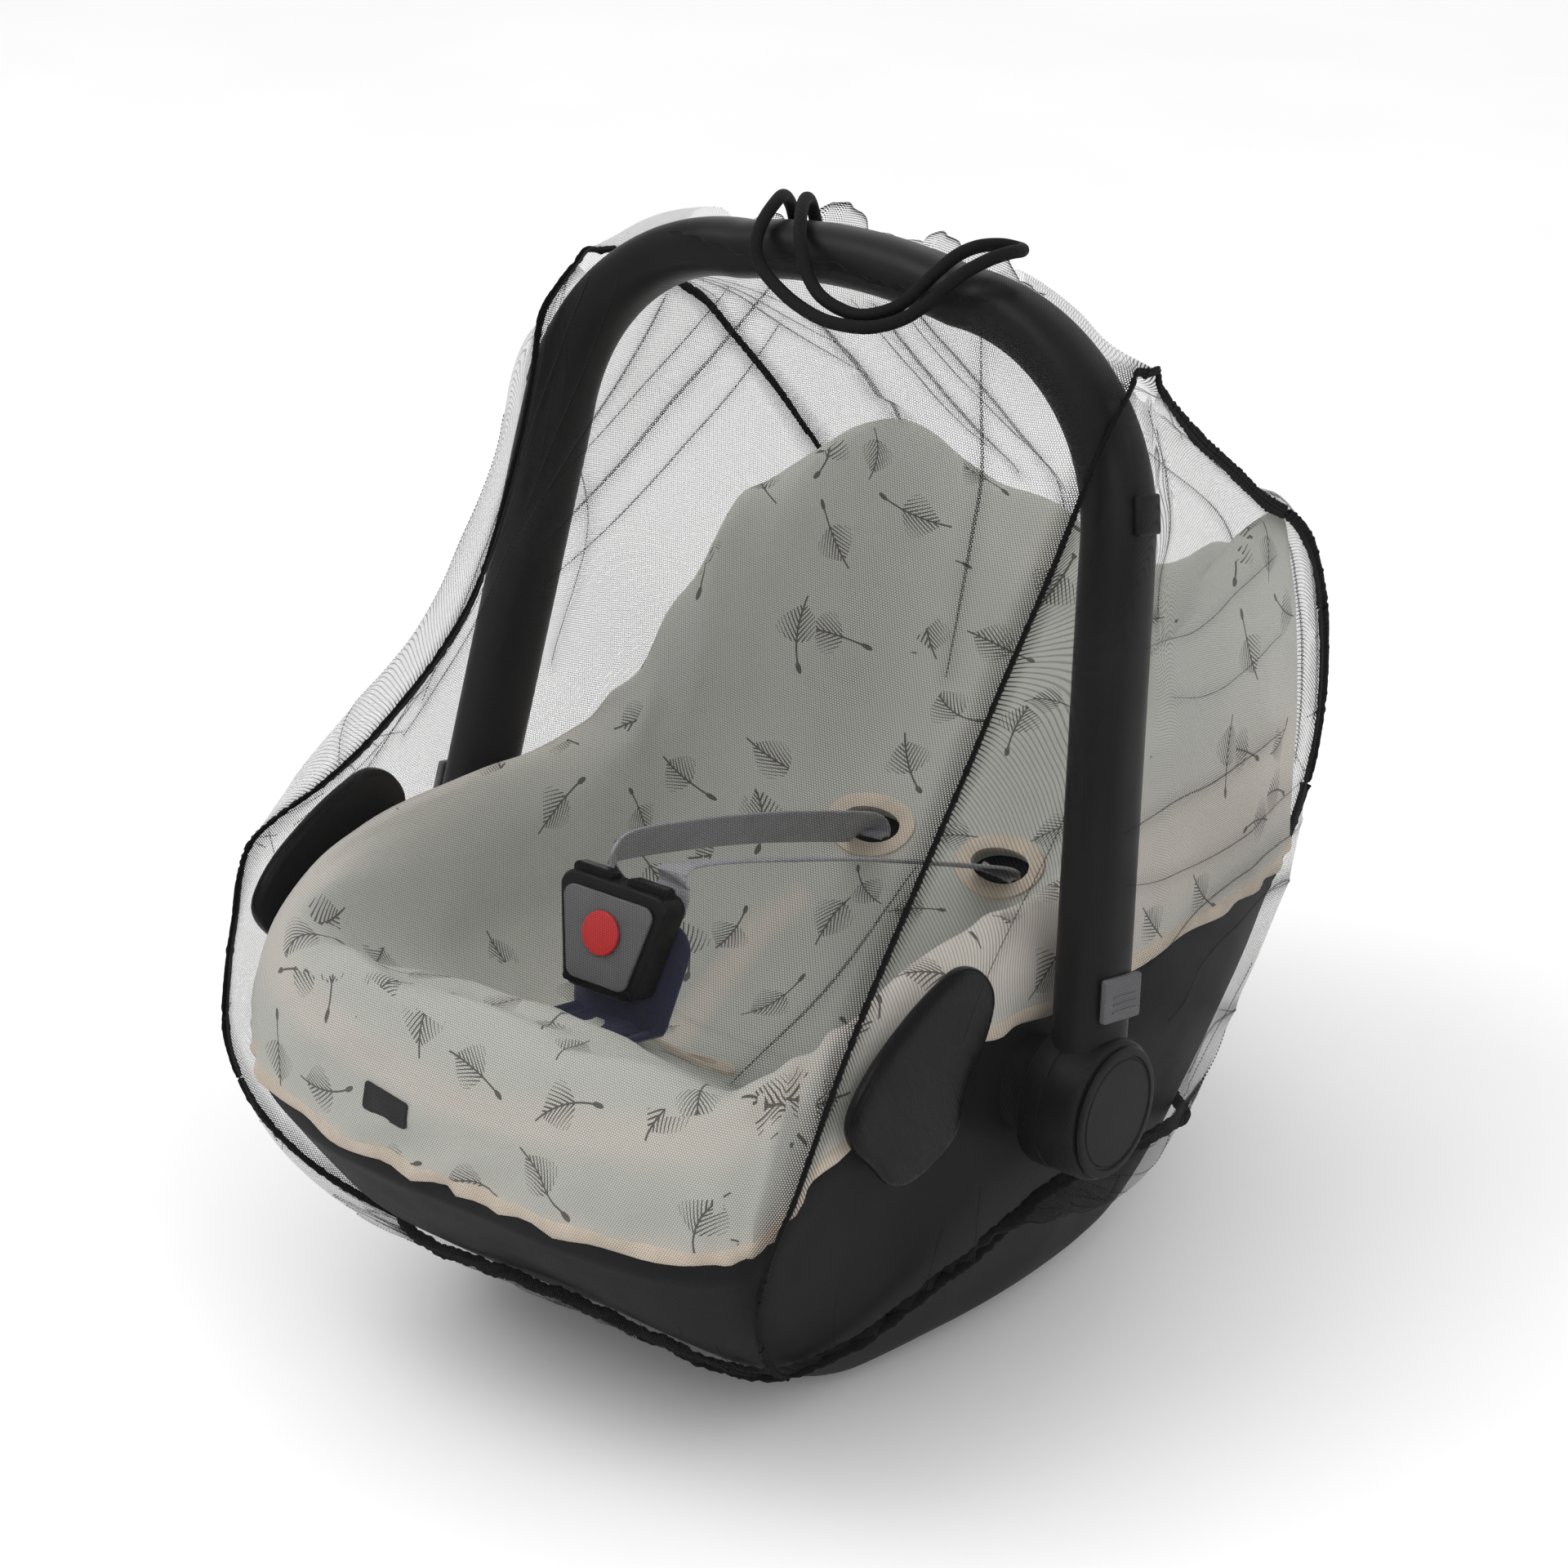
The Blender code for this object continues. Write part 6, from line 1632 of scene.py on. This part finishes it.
def pleatLines(grids, step=0.004):  # each pleat as places on its panel, evenly spaced
    lines = []
    for panel, places, wide in pleats:
        at = curveThrough(np.array(places, float), shares(60))
        line = gridAt(grids[panel], at[:, 0], at[:, 1], panel != "middle")
        run = runAlong(line)
        count = max(4, int(run[-1] / step))
        share = np.interp(shares(count) * run[-1], run, shares(60))
        at = curveThrough(np.array(places, float), share)
        lines.append((panel, at, wide, gridAt(grids[panel], at[:, 0], at[:, 1], panel != "middle")))
    return lines


def pleatTrees(grids):
    found = {}
    lines = pleatLines(grids, 0.0015)
    for panel in grids:
        own = [(p, wide * 0.001) for name, at, wide, line in lines if name == panel for p in line]
        tree = KDTree(len(own))
        for n, (p, wide) in enumerate(own):
            tree.insert(p, n)
        tree.balance()
        found[panel] = (tree, [wide for p, wide in own])
    return found


def dressPanel(panel, grid, across, along, panels, sign):
    # folds, creases, hem gathers and small waves on a fine panel; gives the moved grid and how dense the cloth looks,
    # with painted shade along the folds and round the creases
    normal = gridNormals(grid) * sign
    lift = np.zeros(grid.shape[:2])
    for name, where in panels:
        lift += foldHeight(name, across, where) * (where >= 0) * (where <= 1)
    edge = 1 - np.abs(across * 2 - 1 if panels[0][0] == "side" else across) ** 6
    waves = ripple(grid, net["waveScale"], 3.1) * net["wave"]
    hem = limit(1 - along / net["hemReach"])
    run = arcAlong(grid, 1)
    gather = np.sin(run * 420 + 2.2 * np.sin(run * 61)) * net["gather"] + np.sin(run * 190) * net["broadGather"]
    tree, widths = creaseTrees[panel]
    ridge = np.zeros(grid.shape[:2])
    soft = np.zeros(grid.shape[:2])
    for index, p in zip(np.ndindex(*grid.shape[:2]), grid.reshape(-1, 3)):
        place, n, far = tree.find(p)
        wide = widths[n]
        if far < net["pleatReach"]:
            ridge[index] = wide * net["pleatLift"] * math.exp(-(far / (wide * 0.9 + 0.0012)) ** 2)
            soft[index] = net["pleatShade"] * min(1.0, wide / 0.004) * math.exp(-(far / (wide + 0.0025)) ** 2)
    lift = lift + waves + hem * gather + ridge
    # painted shade: the net thickens along lifted folds and in a soft band round each crease
    density_and_fold_shade = net["hemShade"] * hem + limit(lift / 0.008) * 0.1 + soft
    return grid + normal * (lift * edge)[..., None], limit(density_and_fold_shade)


middle = drawOver(middleGrid(), trees, 1)
sideGrids = {}
for side, tag in bothSides:
    drawn = drawOver(sideGrid(side, middle), trees, side)
    plain = sideGrid(side, middle)
    drawn[:, 0], drawn[:, -1] = plain[:, 0], plain[:, -1]
    sideGrids[tag] = drawn
print("stage: net drawn over the carrier")

pleats = pleatPlan()
fineSteps = net["fineRows"], net["fineColumns"]
baseGrids = {"middle": refine(middle, *fineSteps)}
baseGrids.update({tag: refine(sideGrids[tag], *fineSteps) for tag in ("right", "left")})
creaseTrees = pleatTrees(baseGrids)

netParts = {}


def middlePanel():
    steps = net["fineRows"]
    fine = baseGrids["middle"]
    rows, columns = fine.shape[:2]
    place = np.arange(rows)[:, None] / steps * np.ones(columns)
    across = np.ones(rows)[:, None] * (shares(columns - 1) * 2 - 1)
    frontShare, backShare = place / net["rows"], (2 * net["rows"] + 4 - place) / net["rows"]
    fromHem = np.minimum(arcAlong(fine, 0), arcAlong(fine[::-1], 0)[::-1])
    u = arcAlong(fine, 1)
    u = u - u[:, columns // 2][:, None]
    v = arcAlong(fine, 0)
    moved, density_and_fold_shade = dressPanel("middle", fine, across, fromHem, [("front", frontShare), ("back", backShare)], 1)
    seam = limit(1 - (1 - np.abs(across)) * 0.17 / net["seamReach"])
    density_and_fold_shade = np.maximum(density_and_fold_shade, seam * net["seamShade"])
    first, last = net["rows"] * steps, (net["rows"] + 4) * steps
    ridge = moved[(net["rows"] + 2) * steps, :, 0]
    slot = np.abs((ridge[:-1] + ridge[1:]) / 2) < net["slotHalf"]
    keep = np.ones((rows - 1, columns - 1), bool)
    keep[first:last, slot] = False
    ob = sheetOf("net_panel_middle", moved, finish["net"], net["clothThick"], np.stack([u, v], axis=2),
                 {"density_and_fold_shade": density_and_fold_shade.ravel()}, keep)
    netParts["middle"] = ride(ob, "net", "net_middle")
    return moved


def sidePanel(side, tag):
    fine = baseGrids[tag]
    rows, columns = fine.shape[:2]
    across = np.ones(rows)[:, None] * shares(columns - 1)
    along = shares(rows - 1)[:, None] * np.ones(columns)
    moved, density_and_fold_shade = dressPanel(tag, fine, across, arcAlong(fine, 0), [("side", along)], side)
    u, v = arcAlong(fine, 1), arcAlong(fine, 0)
    seam = limit(1 - np.minimum(u, u[:, -1:] - u) / net["seamReach"])
    density_and_fold_shade = np.maximum(density_and_fold_shade, seam * net["seamShade"])
    ob = sheetOf(f"net_panel_{tag}", moved, finish["net"], net["clothThick"], np.stack([u, v], axis=2),
                 {"density_and_fold_shade": density_and_fold_shade.ravel()}, None, side)
    netParts[tag] = ride(ob, "net", f"net_side_{tag}")
    return moved


fineMiddle = middlePanel()
fineSides = {tag: sidePanel(side, tag) for side, tag in bothSides}
print("stage: net panels")


def pleatPiece():  # each pleat is a narrow doubled fold that stands just off its panel
    grids = {"middle": fineMiddle, "right": fineSides["right"], "left": fineSides["left"]}
    signs = {"middle": 1, "right": 1, "left": -1}
    verts, faces, uv = [], [], []
    for panel, at, wide, line in pleatLines(grids):
        aside = panel != "middle"
        steps = len(line)
        way = unit(np.gradient(line, axis=0))
        beside = gridAt(grids[panel], at[:, 0] + 0.012, at[:, 1], aside)
        above = gridAt(grids[panel], at[:, 0], at[:, 1] + 0.12, aside)
        away = unit(np.cross(beside - line, above - line)) * signs[panel]
        across = unit(np.cross(away, way))
        taper = np.sin(np.pi * np.linspace(0.1, 0.94, steps)) ** 0.6 * wide * 0.0005
        if aside:
            taper = taper * 0.5                    # the sides have softer folds
        base = len(verts)
        run = runAlong(line)
        for n in range(steps):
            for s, h in ((-1, 0.00035), (0, 0.00075), (1, 0.00035), (0, 0.0002)):
                verts.append(line[n] + across[n] * s * taper[n] + away[n] * h)
                uv.append((s * taper[n], run[n]))
        for n in range(steps - 1):
            for k in range(4):
                a, b = base + n * 4 + k, base + n * 4 + (k + 1) % 4
                faces.append((a, b, b + 4, a + 4))
        faces.append((base + 3, base + 2, base + 1, base))
        faces.append(tuple(base + (steps - 1) * 4 + k for k in range(4)))
    density_and_fold_shade = np.full(len(verts), 0.12)
    ob = outward(addMesh("net_pleats", verts, faces, finish["netDense"], uv, {"density_and_fold_shade": density_and_fold_shade}, sharp=180))
    return ride(ob, "net")


netParts["pleats"] = pleatPiece()
print("stage: pleats")


# Bound seams and the elastic hem
binding = {
    "step": 0.0016, "half": 0.0026, "wider": 0.0008, "widerFrom": 0.55, "rag": 0.001,
    "narrow": {"right": 1.0, "left": 0.72},    # the far seam is seen narrower
    "thick": 0.0012, "thickRag": 0.0006, "lift": 0.0002, "stitchLift": 0.0011, "stitchAt": (-0.0009, 0.001),
}
hemTube = {"step": 0.0022, "sides": 14, "radius": 0.0042, "flat": 0.75, "smooth": 6, "heart": (0.0, 0.07, 0.09)}


def evenLine(points, step):
    count = int(np.linalg.norm(np.diff(points, axis=0), axis=1).sum() / step)
    return curveThrough(points, evenShares(points, count))


def seamBand(side, tag):
    b = binding
    line = evenLine(refine(middle, 2, 1)[:, -1 if side > 0 else 0], b["step"])
    tree = treeOf(netParts["middle"])
    away = []
    for p in line:
        near, normal, face, far = tree.find_nearest(Vector(p))
        away.append(np.array(normal) * (1 if normal.dot(Vector(p) - Vector((0, 0.06, 0.24))) > 0 else -1))
    away = unit(np.array([np.mean(away[max(0, n - 6):n + 7], axis=0) for n in range(len(away))]))
    way = unit(np.gradient(line, axis=0))
    across = np.cross(away, way)
    count = len(line)
    rag = np.array([noise.noise(Vector((n * 0.45, side * 5.0, 0))) for n in range(count)])
    slow = np.array([noise.noise(Vector((n * 0.035, side * 9.0, 2))) for n in range(count)])
    halfWide = b["half"] + b["wider"] * (np.arange(count) > b["widerFrom"] * count)
    halfWide = (halfWide + b["rag"] * rag + b["rag"] * slow) * b["narrow"][tag]
    halfThick = b["thick"] + b["thickRag"] * rag
    band = sweep("binding", line + away * b["lift"], finish["seam"], halfWide, halfThick, 12, across)
    over = line + away * (b["stitchLift"] + halfThick[:, None] * 0.35)
    rows = [stitchRow("stitches", over + across * off, **stitch["seam"]) for off in b["stitchAt"]]
    return ride(joined(f"seam_binding_{tag}", [band] + rows), "seam", f"seam_tape_{tag}")


for side, tag in bothSides:
    netParts[f"seam_{tag}"] = seamBand(side, tag)


def hemBand():  # round the hem: foot end, near side, head end, far side
    parts = [fineMiddle[0], fineSides["right"][0], fineMiddle[-1][::-1], fineSides["left"][0][::-1]]
    line = np.vstack([p[1:-1] for p in parts])
    line = evenLine(np.vstack([line, line[:1]]), hemTube["step"])[:-1]
    near = hemTube["smooth"]
    padded = np.vstack([line[-near:], line, line[:near]])
    line = np.array([padded[n:n + 2 * near + 1].mean(axis=0) for n in range(len(line))])
    count = len(line)
    way = unit(np.roll(line, -1, axis=0) - np.roll(line, 1, axis=0))
    out = unit(line - hemTube["heart"])
    out = unit(out - way * np.sum(out * way, axis=1, keepdims=True))
    up = np.cross(way, out)
    sides = hemTube["sides"]
    run = np.arange(count) * hemTube["step"]
    verts, uv = [], []
    for n in range(count):
        crimp = 0.72 + 0.28 * math.sin(run[n] * 900 + 1.5 * math.sin(run[n] * 140))
        rag = noise.noise(Vector((run[n] * 160, 3.3, 0)))
        for k in range(sides):
            a = 2 * math.pi * k / sides
            radius = hemTube["radius"] * (crimp * 0.35 + 0.65 + 0.18 * rag)
            verts.append(line[n] + out[n] * math.cos(a) * radius * hemTube["flat"] + up[n] * math.sin(a) * radius)
            uv.append((k / sides * 0.02, run[n]))
    return ride(outward(addMesh("hem_elastic", verts, loopFaces(count, sides), finish["seam"], uv, sharp=180)), "seam")


netParts["hem"] = hemBand()
print("stage: seams and hem")


# Small gathered frill at the edges of the opening that the grip stands in
frill = {
    # middle x, half width, height over the edge; behind the grip, then before it
    "behind": [(-0.03, 0.018, 0.015), (0.034, 0.012, 0.01), (0.062, 0.02, 0.0125), (-0.075, 0.012, 0.0075)],
    "before": [(0.01, 0.016, 0.005), (0.045, 0.014, 0.0045), (-0.06, 0.016, 0.004)],
    "least": 0.003, "step": 0.0012, "rows": 6, "lean": 0.22, "fall": 0.003, "wave": 0.0016,
}


def slotFrill():
    bands = []
    rows = net["fineRows"]
    for row, key, lean in ((net["rows"] * rows, "before", -1.0), ((net["rows"] + 4) * rows, "behind", 1.0)):
        edge = fineMiddle[row]
        edge = edge[np.abs(edge[:, 0]) < net["slotHalf"] + 0.006]
        line = evenLine(edge, frill["step"])
        up = unit(np.array([0, frill["lean"] * lean, 1.0]))
        out = np.array([0, lean, 0.0])
        grid = []
        for n, p in enumerate(line):
            tall = frill["least"]
            for centre, half, high in frill[key]:
                reach = abs(p[0] - centre) / half
                tall = max(tall, high * math.sqrt(max(0.0, 1 - reach * reach)))
            wave = frill["wave"] * math.sin(n * 0.55 + 1.4 * math.sin(n * 0.11))
            grid.append([p + up * tall * s + out * (wave * s + frill["fall"] * s * s) for s in shares(frill["rows"])])
        grid = np.array(grid).transpose(1, 0, 2)
        uv = np.stack([arcAlong(grid, 1), arcAlong(grid, 0)], axis=2)
        rim = shares(frill["rows"])[:, None] * np.ones(grid.shape[1])
        density_and_fold_shade = 0.15 + 0.85 * limit((rim - 0.8) / 0.2)
        bands.append(sheetOf("frill", grid, finish["net"], net["clothThick"], uv, {"density_and_fold_shade": density_and_fold_shade.ravel()}))
    return ride(joined("slot_frill", bands), "net")


netParts["frill"] = slotFrill()


# Tie: doubled elastic cord hooked over the grip
tie = {
    "thick": 0.0066,
    "route": [
        (-0.061, 0.1145, 0.5315), (-0.0595, 0.108, 0.545), (-0.054, 0.095, 0.5535), (-0.047, 0.079, 0.5545),
        (-0.0425, 0.063, 0.549), (-0.039, 0.053, 0.54), (-0.033, 0.049, 0.532), (-0.022, 0.045, 0.526),
        (-0.003, 0.039, 0.52), (0.019, 0.034, 0.517), (0.042, 0.034, 0.518), (0.058, 0.039, 0.523),
        (0.069, 0.045, 0.531), (0.077, 0.05, 0.54), (0.085, 0.056, 0.548), (0.0925, 0.065, 0.5535),
        (0.0965, 0.076, 0.555), (0.096, 0.087, 0.5535), (0.09, 0.0935, 0.552), (0.0825, 0.089, 0.5535),
        (0.0775, 0.077, 0.5545), (0.0735, 0.065, 0.552), (0.0685, 0.055, 0.545), (0.061, 0.049, 0.5355),
        (0.052, 0.045, 0.527), (0.037, 0.0405, 0.5215), (0.022, 0.0415, 0.5215), (0.008, 0.044, 0.525),
        (-0.002, 0.048, 0.531), (-0.0085, 0.052, 0.5385), (-0.0145, 0.057, 0.546), (-0.022, 0.067, 0.5525),
        (-0.03, 0.079, 0.5555), (-0.0375, 0.092, 0.5555), (-0.0435, 0.104, 0.549), (-0.047, 0.1145, 0.5315),
    ],
}


def tieCord():
    line = curveThrough(tie["route"], evenShares(tie["route"], 420))
    cord = sweep("tie_braided", line, finish["elastic"], tie["thick"] / 2, tie["thick"] / 2, 20)
    layer = cord.data.uv_layers["cloth"]
    uv = np.zeros(len(layer.data) * 2)
    layer.data.foreach_get("uv", uv)
    uv = uv.reshape(-1, 2) * (math.pi * tie["thick"], 1)
    layer.data.foreach_set("uv", uv.ravel())
    ride(cord, "elastic", "tie_cord")
    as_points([tuple(p) for p in line[::4]] + [tuple(line[-1])])


tieCord()
print("stage: tie")

for key in ("middle", "right", "left"):
    mesh = netParts[key].data
    print("panel", key, "area", round(sum(p.area for p in mesh.polygons) / 2, 4), "faces", len(mesh.polygons))


# Floor, light and surroundings
studio = {
    "floor": 14.0, "floorTone": 0.93, "skyTone": 1.0, "skyPower": 0.98, "aim": (0, 0.05, 0.2),
    "lights": [("key", (-0.9, -1.2, 2.4), 1.6, 24.0), ("fill", (1.8, -0.6, 1.5), 1.4, 9.0)],    # place, size, power
}


def addStudio():
    half = studio["floor"] / 2
    made, w, shader = newMaterial("paleFloor")
    tone = w.span(w.noise(w.place(), 3.0, 2.0), 0.3, 0.7, studio["floorTone"] - 0.01, studio["floorTone"] + 0.01)
    w.feed(shader, Base_Color=tone, Roughness=0.9)
    corners = [(x * half, y * half, -0.0004) for x, y in ((-1, -1), (1, -1), (1, 1), (-1, 1))]
    addMesh("floor", corners, [(0, 1, 2, 3)], made, smooth=False)
    world = bpy.data.worlds.new("studio")
    scene.world = world
    world.use_nodes = True
    sky = world.node_tree.nodes["Background"]
    sky.inputs["Color"].default_value = (studio["skyTone"],) * 3 + (1,)
    sky.inputs["Strength"].default_value = studio["skyPower"]
    for name, place, size, power in studio["lights"]:
        data = bpy.data.lights.new(name, "AREA")
        data.size = size
        data.energy = power
        lamp = bpy.data.objects.new(name, data)
        lamp.location = place
        lamp.rotation_euler = (Vector(studio["aim"]) - lamp.location).to_track_quat("-Z", "Y").to_euler()
        scene.collection.objects.link(lamp)
    scene.view_settings.view_transform = "Standard"
    scene.cycles.transparent_max_bounces = 32


addStudio()
print("stage: studio")
